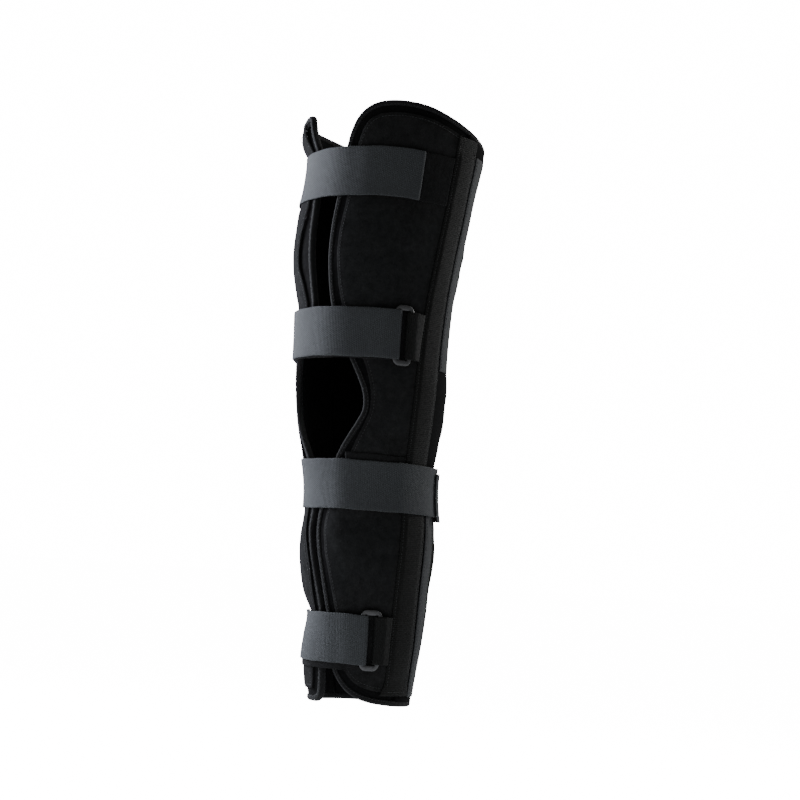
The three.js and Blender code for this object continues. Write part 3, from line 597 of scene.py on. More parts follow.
def blown_cloth(turn, z, firm):
    """Puckers of the sleeve's face: a tube of slightly oversize cloth, pinned where it is held, is blown
    out by pressure, and how far each point has moved outwards is returned in millimetres, averaged with
    its neighbours."""
    rows, columns = z.shape
    start = on_form(turn, z, SLEEVE_TOP)
    index = np.arange(rows * columns).reshape(rows, columns)
    right = np.roll(index, -1, 1)
    quads = np.stack([index[:-1], right[:-1], right[1:], index[1:]], -1).reshape(-1, 4)
    mesh = bpy.data.meshes.new("cloth_tube")
    mesh.from_pydata((start * MM).reshape(-1, 3), [], quads.tolist())
    tube = bpy.data.objects.new("cloth_tube", mesh)
    bpy.context.collection.objects.link(tube)
    group = tube.vertex_groups.new(name="held")
    for level in PIN_LEVELS:
        group.add(np.flatnonzero(firm.ravel() > level - PIN_REACH).tolist(), level, "REPLACE")
    cloth = tube.modifiers.new("cloth", "CLOTH")
    for setting, value in CLOTH_SETTINGS.items():
        setattr(cloth.settings, setting, value)
    cloth.settings.effector_weights.gravity = 0
    scene = bpy.context.scene
    for step in range(1, CLOTH_STEPS + 1):
        scene.frame_set(step)
    graph = bpy.context.evaluated_depsgraph_get()
    moved = np.empty(start.size)
    tube.evaluated_get(graph).data.vertices.foreach_get("co", moved)
    outwards = on_form(turn, z, SLEEVE_TOP + 1) - start
    outwards /= np.linalg.norm(outwards, axis=-1, keepdims=True)
    bpy.data.objects.remove(tube)
    scene.frame_set(1)
    blown = ((moved.reshape(start.shape) / MM - start) * outwards).sum(-1)
    for _ in range(AVERAGING_ROUNDS):
        blown = (np.roll(blown, 1, 1) + 2 * blown + np.roll(blown, -1, 1)) / 4
        blown[1:-1] = (blown[:-2] + 2 * blown[1:-1] + blown[2:]) / 4
    return blown


def soft_field():
    """Rise of the soft sleeve over its plain form, on the grid of field heights and turns: the swell
    between the straps, and the puckers of the cloth eased into a cap with tanh."""
    turn, z = np.meshgrid(FIELD_TURNS, FIELD_HEIGHTS)
    firm = hold(turn, z)
    field = between_straps(z, SWELLS) * smooth((from_seam(turn, z) - POCKET_WIDTH / 2) / SWELL_REACH)
    puckers = blown_cloth(turn, z, firm)
    field = field + PUCKER_CAP * np.tanh(puckers / PUCKER_CAP)
    return field * (1 - firm * HELD_SHARE)


FIELD = soft_field()
JUST_UNDER_LAST_ROW = FIELD_ROWS - 1.001


def swell(turn, z):
    """The soft field at any place, read from its grid by straight-line blending both ways."""
    turn, z = np.broadcast_arrays(np.asarray(turn, float), np.asarray(z, float))
    u = (turn % TURN) / TURN * len(FIELD_TURNS)
    v = (z - FIELD_HEIGHTS[0]) / (FIELD_HEIGHTS[1] - FIELD_HEIGHTS[0])
    v = np.clip(v, 0, JUST_UNDER_LAST_ROW)
    i, j = np.floor(u).astype(int), np.floor(v).astype(int)
    p, q = u - i, v - j
    left, right = i % len(FIELD_TURNS), (i + 1) % len(FIELD_TURNS)
    low = FIELD[j, left] * (1 - p) + FIELD[j, right] * p
    high = FIELD[j + 1, left] * (1 - p) + FIELD[j + 1, right] * p
    return low * (1 - q) + high * q


# Mesh making

def add_piece(name, mesh, materials, slot, *nodes):
    """Object from a mesh given as points, quads of their numbers and a UV for each corner, all in
    millimetres. Where there are two materials, the mesh also gives the number of each face's one. The
    piece stands in for the nodes."""
    points, quads, uvs, *sides = mesh
    data = bpy.data.meshes.new(name)
    data.from_pydata(points * MM, [], quads.tolist())
    layer = data.uv_layers.new(name="cloth")
    layer.data.foreach_set("uv", (uvs * MM).ravel())
    data.polygons.foreach_set("use_smooth", np.ones(len(quads), bool))
    for material in materials:
        data.materials.append(material)
    if len(materials) > 1:
        data.polygons.foreach_set("material_index", sides[0])
    data.update()
    piece = bpy.data.objects.new(name, data)
    bpy.context.collection.objects.link(piece)
    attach(piece, "root")
    if nodes:
        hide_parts(*nodes)
    return piece


def layer_mesh(outer, inner, flat):
    """Closed mesh of two grids that share their border. Columns run with the turn and rows upwards, so
    the outer faces look outwards. flat holds the UV of each place. Outer faces have the number 0 and inner
    ones 1."""
    rows, columns = outer.shape[:2]
    front = np.arange(rows * columns).reshape(rows, columns)
    back = front.copy()
    back[1:-1, 1:-1] = rows * columns + np.arange((rows - 2) * (columns - 2)).reshape(rows - 2, -1)
    points = np.concatenate([outer.reshape(-1, 3), inner[1:-1, 1:-1].reshape(-1, 3)])

    def corners(grid):
        return np.stack([grid[:-1, :-1], grid[:-1, 1:], grid[1:, 1:], grid[1:, :-1]], -2)

    face_uvs = corners(flat).reshape(-1, 4, 2)
    out_quads = corners(front[..., None])[..., 0].reshape(-1, 4)
    in_quads = corners(back[..., None])[..., 0].reshape(-1, 4)[:, ::-1]
    sides = np.repeat([0, 1], len(out_quads)).astype(np.int32)
    quads = np.concatenate([out_quads, in_quads])
    return points, quads, np.concatenate([face_uvs, face_uvs[:, ::-1]]), sides


def turned_over(mesh):
    """The same mesh with every face looking the other way."""
    points, quads, uvs = mesh[:3]
    return points, quads[:, ::-1], uvs[:, ::-1]


def sweep_mesh(rings):
    """Closed tube through rings of points, as stations by corners by xyz."""
    stations, corners = rings.shape[:2]
    here = np.arange(stations * corners).reshape(stations, corners)
    ahead = np.roll(here, -1, 0)
    quads = np.stack([here, ahead, np.roll(ahead, -1, 1), np.roll(here, -1, 1)], -1).reshape(-1, 4)
    along = np.linalg.norm(np.roll(rings, -1, 0) - rings, axis=-1).mean(1)
    round_about = np.linalg.norm(np.roll(rings, -1, 1) - rings, axis=-1).mean(0)
    u = np.concatenate([[0], np.cumsum(along)])
    v = np.concatenate([[0], np.cumsum(round_about)])
    k, m = np.meshgrid(np.arange(stations), np.arange(corners), indexing="ij")
    uvs = np.stack([
        np.stack([u[k], v[m]], -1), np.stack([u[k + 1], v[m]], -1),
        np.stack([u[k + 1], v[m + 1]], -1), np.stack([u[k], v[m + 1]], -1),
    ], -2).reshape(-1, 4, 2)
    return rings.reshape(-1, 3), quads, uvs


def rounded(distance, rim):
    """Share of the full thickness at a distance from an edge, along a quarter circle of the rim's size."""
    return np.sqrt(np.clip(1 - (1 - np.clip(distance / rim, 0, 1)) ** 2, 0, 1))


def edge_share(across, along, width, length, rim):
    """Thickness share over a grid, rounded off at all four borders."""
    sideways = rounded(np.minimum(across, 1 - across) * width, rim)
    upwards = rounded(np.minimum(along, 1 - along) * length, rim)
    return sideways[None, :] * upwards[:, None]


# Stitches

def stitch_row(turn, z, rise):
    """Centres, directions and outward normals of stitches at an even pitch along a path on the sleeve."""
    path = on_form(turn, z, rise)
    lifted = on_form(turn, z, np.asarray(rise) + 1)
    steps = np.linalg.norm(np.diff(path, axis=0), axis=1)
    length = np.concatenate([[0], np.cumsum(steps)])
    at = np.arange(STITCH_PITCH / 2, length[-1] - STITCH_PITCH / 3, STITCH_PITCH)

    def read(values):
        return np.stack([np.interp(at, length, values[:, k]) for k in range(3)], -1)

    ahead = np.gradient(path, axis=0)
    along = read(ahead / np.linalg.norm(ahead, axis=1, keepdims=True))
    out = read(lifted - path)
    along /= np.linalg.norm(along, axis=1, keepdims=True)
    out -= along * (out * along).sum(1, keepdims=True)
    out /= np.linalg.norm(out, axis=1, keepdims=True)
    return read(path), along, out


def stitches(name, rows, slot):
    """One mesh of short bent threads. A thread is a capsule, x = L/2 * sin(a) along and r * cos(a) to a
    blunt power round, whose ends dip into the cloth by the square of their distance from its middle."""
    centre, along, out = (np.concatenate([row[k] for row in rows]) for k in range(3))
    angles = np.linspace(-math.pi / 2, math.pi / 2, STITCH_RINGS)
    reach = STITCH_LENGTH / 2 * np.sin(angles)
    radius = THREAD / 2 * np.maximum(np.cos(angles), THREAD_TIP) ** THREAD_BLUNTNESS
    dip = -THREAD_DIP * THREAD * (2 * reach / STITCH_LENGTH) ** 2
    round_about = np.arange(STITCH_SIDES) * TURN / STITCH_SIDES
    x = np.repeat(reach, STITCH_SIDES)
    y = (radius[:, None] * np.cos(round_about)).ravel()
    h = (radius[:, None] * np.sin(round_about) + dip[:, None]).ravel()
    across = np.cross(out, along)
    points = (
        centre[:, None] + x[None, :, None] * along[:, None]
        + y[None, :, None] * across[:, None] + h[None, :, None] * out[:, None]
    )
    index = np.arange(len(x)).reshape(STITCH_RINGS, STITCH_SIDES)
    here, ahead = index[:-1], index[1:]
    quads = np.stack([ahead, np.roll(ahead, -1, 1), np.roll(here, -1, 1), here], -1).reshape(-1, 4)
    every = (quads[None] + (np.arange(len(centre)) * len(x))[:, None, None]).reshape(-1, 4)
    mesh = points.reshape(-1, 3), every, np.zeros((len(every), 4, 2))
    return add_piece(name, mesh, [SEWING_THREAD], slot)


# Node helpers and shared effects

NOISE_ROUGHNESS = 0.55
SHEEN_ROUGHNESS = 0.5
PALE_THREAD = (0.5, 0.5, 0.52, 1)


def new_group(name, inputs, outputs):
    """Empty node group with named sockets, each given as (name, kind, starting value)."""
    tree = bpy.data.node_groups.new(name, "ShaderNodeTree")
    for label, kind, value in inputs:
        socket = tree.interface.new_socket(label, in_out="INPUT", socket_type=kind)
        if value is not None:
            socket.default_value = value
    for label, kind in outputs:
        tree.interface.new_socket(label, in_out="OUTPUT", socket_type=kind)
    return tree, tree.nodes.new("NodeGroupInput"), tree.nodes.new("NodeGroupOutput")


def wire(tree, value, socket):
    """Links an output to a socket, or sets the socket to a plain value."""
    if isinstance(value, bpy.types.NodeSocket):
        tree.links.new(value, socket)
    else:
        socket.default_value = value


def maths(tree, operation, a, b=None, clamp=False):
    """Result of one sum on values or outputs."""
    node = tree.nodes.new("ShaderNodeMath")
    node.operation = operation
    node.use_clamp = clamp
    wire(tree, a, node.inputs[0])
    if b is not None:
        wire(tree, b, node.inputs[1])
    return node.outputs[0]


def times(tree, a, b):
    return maths(tree, "MULTIPLY", a, b)


def plus(tree, a, b):
    return maths(tree, "ADD", a, b)


def mix_colour(tree, share, a, b):
    """Colour a, with that share of colour b."""
    node = tree.nodes.new("ShaderNodeMix")
    node.data_type = "RGBA"
    wire(tree, share, node.inputs["Factor"])
    wire(tree, a, node.inputs["A"])
    wire(tree, b, node.inputs["B"])
    return node.outputs["Result"]


def noise(tree, vector, scale, detail):
    """Even cloudy value from 0 to 1."""
    node = tree.nodes.new("ShaderNodeTexNoise")
    wire(tree, vector, node.inputs["Vector"])
    wire(tree, scale, node.inputs["Scale"])
    node.inputs["Detail"].default_value = detail
    node.inputs["Roughness"].default_value = NOISE_ROUGHNESS
    return node.outputs["Fac"]


def grow_range(tree, value, low, high, to_low=0.0, to_high=1.0):
    """Value stretched from one range to another, and held at its ends."""
    node = tree.nodes.new("ShaderNodeMapRange")
    wire(tree, value, node.inputs["Value"])
    for label, number in (("From Min", low), ("From Max", high), ("To Min", to_low), ("To Max", to_high)):
        wire(tree, number, node.inputs[label])
    return node.outputs["Result"]


FLOAT, VECTOR, COLOUR = "NodeSocketFloat", "NodeSocketVector", "NodeSocketColor"


def make_webbing_group():
    """Ribs across a band, with the yarns of each rib staggered against the next: the height is
    |sin(pi u / rib)| times a smaller wave of v that shifts by half a yarn from rib to rib. The Shade output
    is painted shade and highlight: it darkens the colour in the grooves and lightens it on the ridges."""
    tree, given, result = new_group(
        "woven_ribs",
        [("Vector", VECTOR, None), ("Rib", FLOAT, 0.0012), ("Yarn", FLOAT, 0.0009), ("Wander", FLOAT, 0.3)],
        [("Height", FLOAT), ("Shade", FLOAT)],
    )
    split = tree.nodes.new("ShaderNodeSeparateXYZ")
    tree.links.new(given.outputs["Vector"], split.inputs[0])
    drift = noise(tree, given.outputs["Vector"], scale=90.0, detail=2.0)
    wander = times(tree, maths(tree, "SUBTRACT", drift, 0.5), given.outputs["Wander"])
    ribs = plus(tree, maths(tree, "DIVIDE", split.outputs[0], given.outputs["Rib"]), wander)
    ridge = maths(tree, "ABSOLUTE", maths(tree, "SINE", times(tree, ribs, math.pi)))
    stagger = times(tree, maths(tree, "FLOOR", ribs), 0.5)
    yarns = plus(tree, maths(tree, "DIVIDE", split.outputs[1], given.outputs["Yarn"]), stagger)
    bead = maths(tree, "SINE", times(tree, yarns, TURN))
    height = times(tree, ridge, plus(tree, times(tree, bead, 0.3), 0.7))
    tree.links.new(height, result.inputs["Height"])
    # Painted shade and highlight: the colour is scaled from 0.72 in the grooves to 1.1 on the ridges
    shade = grow_range(tree, height, low=0.1, high=0.9, to_low=0.72, to_high=1.1)
    tree.links.new(shade, result.inputs["Shade"])
    return tree


def make_pile_group():
    """Brushed or looped surface: fine noise for the fibres over coarser clumps where the pile lies
    another way. The Shade output is painted light and shade that follows this height: the colour runs from
    0.6 on the low places to 1.5 on the raised fibres and clumps."""
    tree, given, result = new_group(
        "brushed_pile",
        [("Vector", VECTOR, None), ("Fibre", FLOAT, 1500.0), ("Clump", FLOAT, 160.0)],
        [("Height", FLOAT), ("Shade", FLOAT)],
    )
    fibres = noise(tree, given.outputs["Vector"], given.outputs["Fibre"], detail=2.0)
    clumps = noise(tree, given.outputs["Vector"], given.outputs["Clump"], detail=3.0)
    height = plus(tree, times(tree, fibres, 0.7), times(tree, clumps, 0.5))
    tree.links.new(height, result.inputs["Height"])
    # Painted light and shade: the raised fibres and clumps are lightened and the low places darkened
    shade = grow_range(tree, height, low=0.4, high=0.8, to_low=0.6, to_high=1.5)
    tree.links.new(shade, result.inputs["Shade"])
    return tree


def make_drift_group():
    """Slow change of a colour over the surface, with sparse specks of pale lint. The colour is also scaled
    by the Shade input, which carries the painted light and shade of the ribs or the pile.
    """
    tree, given, result = new_group(
        "colour_drift",
        [("Vector", VECTOR, None), ("Colour", COLOUR, (0.1, 0.1, 0.1, 1)), ("Shade", FLOAT, 1.0),
         ("Drift", FLOAT, 0.25), ("Lint", FLOAT, 0.03)],
        [("Colour", COLOUR)],
    )
    slow = noise(tree, given.outputs["Vector"], scale=14.0, detail=4.0)
    centred = times(tree, maths(tree, "SUBTRACT", slow, 0.5), given.outputs["Drift"])
    # The Shade input scales the colour here: painted light and shade from the ribs or the pile
    lighter = plus(tree, times(tree, centred, 2.0), 1.0)
    level = times(tree, lighter, given.outputs["Shade"])
    scaled = tree.nodes.new("ShaderNodeVectorMath")
    scaled.operation = "SCALE"
    tree.links.new(given.outputs["Colour"], scaled.inputs[0])
    tree.links.new(level, scaled.inputs["Scale"])
    grains = noise(tree, given.outputs["Vector"], scale=700.0, detail=1.0)
    specks = grow_range(tree, grains, low=0.76, high=0.82)
    lint = maths(tree, "MULTIPLY", specks, given.outputs["Lint"], clamp=True)
    tree.links.new(mix_colour(tree, lint, scaled.outputs[0], PALE_THREAD), result.inputs["Colour"])
    return tree


WOVEN_RIBS = make_webbing_group()
BRUSHED_PILE = make_pile_group()
COLOUR_DRIFT = make_drift_group()


def use_group(tree, group, **values):
    """Node of a shared effect, with its inputs set or linked."""
    node = tree.nodes.new("ShaderNodeGroup")
    node.node_tree = group
    for label, value in values.items():
        wire(tree, value, node.inputs[label])
    return node


def start_material(name, colour, roughness, specular, sheen):
    """Material with a Principled shader whose even values are set on its own sockets."""
    material = bpy.data.materials.new(name)
    material.use_nodes = True
    material.diffuse_color = (*colour, 1)
    shader = material.node_tree.nodes["Principled BSDF"]
    shader.inputs["Roughness"].default_value = roughness
    shader.inputs["Specular IOR Level"].default_value = specular
    shader.inputs["Sheen Weight"].default_value = sheen
    shader.inputs["Sheen Roughness"].default_value = SHEEN_ROUGHNESS
    shader.inputs["Sheen Tint"].default_value = PALE_THREAD
    place = material.node_tree.nodes.new("ShaderNodeTexCoord")
    return material, material.node_tree, shader, place


def finish_material(tree, shader, vector, colour, shade, height, depth, drift, lint):
    """Drifting colour into the base colour, and the height into a bump of the given depth in metres. shade
    scales the colour: for the cloths it carries the painted light and shade of their ribs or nap.
    """
    tinted = use_group(
        tree, COLOUR_DRIFT, Vector=vector, Colour=(*colour, 1), Shade=shade, Drift=drift, Lint=lint,
    )
    tree.links.new(tinted.outputs["Colour"], shader.inputs["Base Color"])
    bump = tree.nodes.new("ShaderNodeBump")
    bump.inputs["Strength"].default_value = 1.0
    bump.inputs["Distance"].default_value = depth
    tree.links.new(height, bump.inputs["Height"])
    tree.links.new(bump.outputs["Normal"], shader.inputs["Normal"])


def webbing(name, colour, rib, yarn, depth, roughness, sheen):
    """Woven band: ribs across it, drawn on its own UV map, with painted shade in their grooves and painted
    highlight on their ridges.
    """
    material, tree, shader, place = start_material(name, colour, roughness, specular=0.12, sheen=sheen)
    woven = use_group(tree, WOVEN_RIBS, Vector=place.outputs["UV"], Rib=rib, Yarn=yarn, Wander=0.25)
    finish_material(
        tree, shader, place.outputs["Object"], colour, woven.outputs["Shade"], woven.outputs["Height"],
        depth, drift=0.15, lint=0.02,
    )
    return material


def pile(name, colour, fibre, clump, depth, sheen):
    """Brushed or looped cloth, drawn in the object's own space, with painted light and shade on its nap."""
    material, tree, shader, place = start_material(name, colour, roughness=0.95, specular=0.03, sheen=sheen)
    nap = use_group(tree, BRUSHED_PILE, Vector=place.outputs["Object"], Fibre=fibre, Clump=clump)
    finish_material(
        tree, shader, place.outputs["Object"], colour, nap.outputs["Shade"], nap.outputs["Height"],
        depth, drift=0.25, lint=0.05,
    )
    return material


def moulded(name, colour):
    """Moulded plastic with a fine spark-eroded grain."""
    material, tree, shader, place = start_material(name, colour, roughness=0.42, specular=0.5, sheen=0.0)
    grain = noise(tree, place.outputs["Object"], scale=2600.0, detail=2.0)
    finish_material(
        tree, shader, place.outputs["Object"], colour, 1.0, grain, depth=0.00006, drift=0.1, lint=0.02,
    )
    return material


LAMINATE = pile(
    "brushed_laminate", (0.0062, 0.0062, 0.0064), fibre=1900.0, clump=240.0, depth=0.00012, sheen=0.02,
)
COVER_CLOTH = pile(
    "cover_cloth", (0.016, 0.016, 0.0162), fibre=1500.0, clump=150.0, depth=0.00018, sheen=0.015,
)
LOOP_CLOTH = pile(
    "loop_pile", (0.0138, 0.0138, 0.014), fibre=1100.0, clump=260.0, depth=0.0003, sheen=0.04,
)
BINDING_TAPE = webbing(
    "binding_tape", (0.014, 0.014, 0.0143), rib=0.0011, yarn=0.0008, depth=0.00014, roughness=0.8,
    sheen=0.05,
)
BLACK_WEBBING = webbing(
    "black_webbing", (0.0104, 0.0107, 0.0101), rib=0.0019, yarn=0.0011, depth=0.0003, roughness=0.75,
    sheen=0.03,
)
GREY_WEBBING = webbing(
    "grey_webbing", (0.052, 0.0563, 0.0595), rib=0.0017, yarn=0.0021, depth=0.0003, roughness=0.7,
    sheen=0.12,
)
REAR_STRIP = webbing(
    "rear_strip", (0.066, 0.069, 0.071), rib=0.0012, yarn=0.0009, depth=0.00018, roughness=0.75,
    sheen=0.05,
)
SEWING_THREAD = webbing(
    "sewing_thread", (0.052, 0.054, 0.055), rib=0.0006, yarn=0.0006, depth=0.00003, roughness=0.55,
    sheen=0.05,
)
PLASTIC = moulded("moulded_plastic", (0.059, 0.0605, 0.062))


# Sleeve

def in_order(name, *grids):
    """Grids whose columns run with the turn: those of the medial side are turned round."""
    return grids if SIDES[name] > 0 else tuple(grid[:, ::-1] for grid in grids)


def flap_grid(name, inset_of, rim):
    """Turn and height over a flap in fine steps, the distance of each column behind the front edge, and the
    share of the full thickness at each place."""
    across, along = spaced(FLAP_WIDTH, FLAP_STEP, rim), spaced(SLEEVE_LENGTH, FLAP_STEP, rim)
    turn, z = flap_places(name, across, along, inset_of)
    share = edge_share(across, along, FLAP_WIDTH, SLEEVE_LENGTH, rim)
    return turn, z, across * FLAP_WIDTH, share


def flat_uv(turn, z):
    """Place on the sleeve laid flat: the turn times the mean radius, and the height."""
    return np.stack([turn * MEAN_RADIUS, z], -1)


def flap_pad(name):
    """Padded panel: two faces a pad apart, thinner towards the bound edge and the seam, whose outer face
    follows the soft field."""
    turn, z, behind, share = flap_grid(name, lambda z: PAD_TUCK, PAD_RIM)
    pinch = 1 - SEAM_PINCH * (1 - smooth((FLAP_WIDTH - behind) / PINCH_REACH))[None, :]
    half = PAD_THICKNESS / 2 * share * pinch
    middle = PAD_THICKNESS / 2 + PAD_LIFT
    outer = on_form(turn, z, middle + half + swell(turn, z) * share)
    inner = on_form(turn, z, middle - half)
    mesh = layer_mesh(*in_order(name, outer, inner, flat_uv(turn, z)))
    pad = add_piece("pad_" + name, mesh, [LAMINATE], "laminate", "wing_" + name)
    return pad


def cover_inset(name):
    """Distance of a cover's front edge from the outline. Both reach nearer to it beside the cut-out. The
    medial one is drawn back between the thigh straps and reaches forwards over the calf. Each goes as
    sin^2 of the share of the span."""
    shifts = {"knee": -COVER_KNEE_REACH}
    if name == "medial":
        shifts.update(thigh=COVER_BOW, calf=-COVER_CALF_REACH)
    return lambda z: COVER_SET_BACK + between_straps(z, shifts)


def cover(name):
    """Thin outer cloth on a pad. Its front edge stands off the pad by the lift of each span, which dies
    away behind the edge as exp(-(distance / reach)^2), and the very edge rolls down the same way."""
    turn, z, behind, share = flap_grid(name, cover_inset(name), COVER_RIM)
    half = COVER_THICKNESS / 2 * share
    lift = between_straps(z, LIFTS[name]) * np.exp(-((behind / LIFT_REACH) ** 2))[None, :]
    roll = EDGE_ROLL * np.exp(-((behind / EDGE_ROLL_REACH) ** 2))[None, :]
    middle = COVER_RISE + COVER_THICKNESS / 2 + swell(turn, z) + lift - roll
    outer, inner = on_form(turn, z, middle + half), on_form(turn, z, middle - half)
    steps = np.abs(np.diff(turn, axis=1)) * wrap_radius(z[:, 1:])
    mesh = layer_mesh(*in_order(name, outer, inner, flat_uv(turn, z)))
    piece = add_piece("cover_cloth_" + name, mesh, [COVER_CLOTH], "cover_cloth", "cover_" + name)
    return piece


def cover_stitches():
    """Row of stitches just inside the front, top and lower edges of each cover, as far as the pocket."""
    rows = []
    for name in SIDES:
        ends = MARKS[name + "_bottom_seam"], MARKS[name + "_top_seam"]
        counts = even_count(*ends)(np.linspace(0, 1, COVER_ROW_SAMPLES))
        inset = cover_inset(name)(outline_at(counts)[1]) + COVER_HEM
        turn, z = inset_at(counts, inset)
        seen = from_front(turn) < pocket_front(z)
        lift = between_straps(z, LIFTS[name]) * math.exp(-(COVER_HEM / LIFT_REACH) ** 2)
        rise = SLEEVE_TOP + swell(turn, z) + lift
        rows.append(stitch_row(turn[seen], z[seen], rise[seen]))
    return stitches("cover_stitches", rows, "cover_cloth")


def back_pad():
    """Padded back panel between the two seams, from the lower end to the curved top."""
    top_of = even_count(MARKS["lateral_top_seam"], MARKS["medial_top_seam"])
    low_of = even_count(MARKS["lateral_bottom_seam"], MARKS["medial_bottom_seam"] - OUTLINE_TOTAL)
    across, along = spaced(BACK_WIDTH, FLAP_STEP, PAD_RIM), spaced(BACK_LENGTH, FLAP_STEP, PAD_RIM)
    top_turn, top_z = inset_at(top_of(across), PAD_TUCK)
    low_turn, low_z = inset_at(low_of(across), PAD_TUCK)
    v = along[:, None]
    z = low_z + (top_z - low_z) * v
    plain = low_turn + (top_turn - low_turn) * v
    share = (plain - plain[:, :1]) / (plain[:, -1:] - plain[:, :1])
    start = seam_turn(z) + SEAM_GAP / 2 / wrap_radius(z)
    turn = start + (TURN - 2 * start) * share
    full = edge_share(across, along, BACK_WIDTH, BACK_LENGTH, PAD_RIM)
    half = BACK_THICKNESS / 2 * full
    middle = BACK_THICKNESS / 2 + BACK_LIFT
    outer = on_form(turn, z, middle + half + swell(turn, z) * full)
    inner = on_form(turn, z, middle - half)
    mesh = layer_mesh(outer, inner, flat_uv(turn, z))
    pad = add_piece("pad_back", mesh, [LAMINATE], "laminate", "back_panel")
    return pad


def binding_profile():
    """Section of the folded tape as (inset, rise): round at the edge of the sleeve, crowned just inside
    it, and pressed down to the pad at its two free rims."""
    inset = np.array([0.0, 0.15, 0.7, 1.6, 2.8, 4.2, 5.4, 5.95, 6.0])
    crown = np.array([3.2, 4.6, 5.8, 6.5, 6.7, 6.45, 6.2, 6.0, 5.0])
    under = np.array([3.2, 1.8, 0.6, -0.1, -0.35, -0.2, 0.0, 0.2, 1.2])
    upper = np.stack([inset, crown], -1)[::-1]
    lower = np.stack([inset, under], -1)[1:]
    return np.concatenate([upper, lower])


def edge_binding():
    """Folded tape carried once round the outline, gathered a little by its stitching as a sine along it."""
    stations = np.arange(TAPE_STATIONS)
    counts = even_count(0, OUTLINE_TOTAL)(stations / TAPE_STATIONS)
    inset, rise = binding_profile().T
    turn, z = inset_at(counts[:, None], inset[None, :])
    gather = GATHER * np.sin(stations * TURN / GATHER_PITCH)[:, None] * smooth(inset / GATHER_REACH)[None, :]
    rings = on_form(turn, z, rise[None, :] + gather)
    return add_piece("edge_tape", sweep_mesh(rings), [BINDING_TAPE], "binding_tape", "edge_binding")


def binding_stitches():
    """Row of stitches along the tape's inner rim, on the outer face of the sleeve."""
    counts = even_count(0, OUTLINE_TOTAL)(np.linspace(0, 1, TAPE_ROW_SAMPLES))
    turn, z = inset_at(counts, TAPE_ROW_INSET)
    return stitches("edge_stitches", [stitch_row(turn, z, TAPE_ROW_RISE)], "binding_tape")


# Stay pockets and rear strips

def upright_band(side, middle, width, low, high, foot, upper_face, rim, curl=0.0):
    """Closed band laid upright, from the rise of its foot to an upper face that is a function of the place
    across it, from -1 to 1, and of the height. Its front edge runs forwards by the curl at the lower
    end."""
    across, along = spaced(width, UPRIGHT_WIDTH_STEP, rim), spaced(high - low, UPRIGHT_STEP, rim)
    v, z = np.meshgrid(2 * across - 1, low + (high - low) * along)
    forwards = curl * smooth((low + CURL_HEIGHT - z) / CURL_HEIGHT) * smooth((1 - side * v) / 2)
    turn = side * middle(z) + (v * width / 2 - side * forwards) / wrap_radius(z)
    top = upper_face(v, z)
    half = (top - foot) / 2 * edge_share(across, along, width, high - low, rim)
    centre = (top + foot) / 2 + swell(turn, z)
    outer, inner = on_form(turn, z, centre + half), on_form(turn, z, centre - half)
    return layer_mesh(outer, inner, np.stack([z, v * width / 2], -1))


def end_heights(name):
    """Lowest and highest point of a stay pocket, from the ends of its seam."""
    bottom, top = (
        float(height_of(next(up for turn, up in rows if turn is SEAM))) for rows in FLAP_ENDS[name]
    )
    return bottom + POCKET_END, top - POCKET_END


def stay_pocket(name):
    """Webbing sleeve sewn over a flat stay: the stay lifts its middle as a smooth plateau, both ends are
    folded under, which doubles the web there, and slow sines give it slack."""
    low, high = end_heights(name)

    def upper_face(v, z):
        plateau = smooth((STAY_WIDTH / POCKET_WIDTH - np.abs(v)) / STAY_SHOULDER + STAY_SPREAD)
        inside = smooth((z - low - STAY_END) / STAY_END_FADE) * smooth((high - STAY_END - z) / STAY_END_FADE)
        single = (
            smooth((z - low - POCKET_HEM) / POCKET_HEM_FADE)
            * smooth((high - POCKET_HEM - z) / POCKET_HEM_FADE)
        )
        slack = sum(amount * np.sin(z / reach + way * v) for amount, reach, way in POCKET_SLACK)
        hem = POCKET_HEM_RISE * (1 - single)
        return SLEEVE_TOP + POCKET_WEB + hem + (STAY_THICKNESS + slack) * plateau * inside

    mesh = upright_band(
        SIDES[name], seam_turn, POCKET_WIDTH, low, high, SLEEVE_TOP + POCKET_FOOT, upper_face, POCKET_RIM,
        POCKET_CURL,
    )
    return add_piece("stay_sleeve_" + name, mesh, [BLACK_WEBBING], "black_webbing", "stay_pocket_" + name)


def pocket_stitches():
    """Two rows behind the stay, one in front of it, and one across each end, on both pockets."""
    rows = []
    for name, side in SIDES.items():
        low, high = end_heights(name)
        z = np.linspace(low + ROW_END, high - ROW_END, POCKET_ROW_SAMPLES)
        for off in POCKET_ROWS:
            turn = side * seam_turn(z) + side * off / wrap_radius(z)
            rows.append(stitch_row(turn, z, SLEEVE_TOP + POCKET_ROW_RISE + swell(turn, z)))
        off = np.linspace(-POCKET_END_ROW_HALF, POCKET_END_ROW_HALF, POCKET_END_ROW_SAMPLES)
        for height in (low + POCKET_LOW_ROW_UP, high - POCKET_TOP_ROW_DOWN):
            z = np.full_like(off, height)
            turn = side * seam_turn(z) + off / wrap_radius(z)
            rows.append(stitch_row(turn, z, SLEEVE_TOP + POCKET_END_ROW_RISE))
    return stitches("stay_sleeve_stitches", rows, "black_webbing")


STRIPS = {
    "thigh": (THIGH_STRIP_WIDTH, THIGH_STRIP_UPS),
    "calf": (CALF_STRIP_WIDTH, CALF_STRIP_UPS),
}


def strip_ends(ups):
    """Heights of the two ends of a grey strip."""
    return tuple(float(height_of(up)) for up in ups)


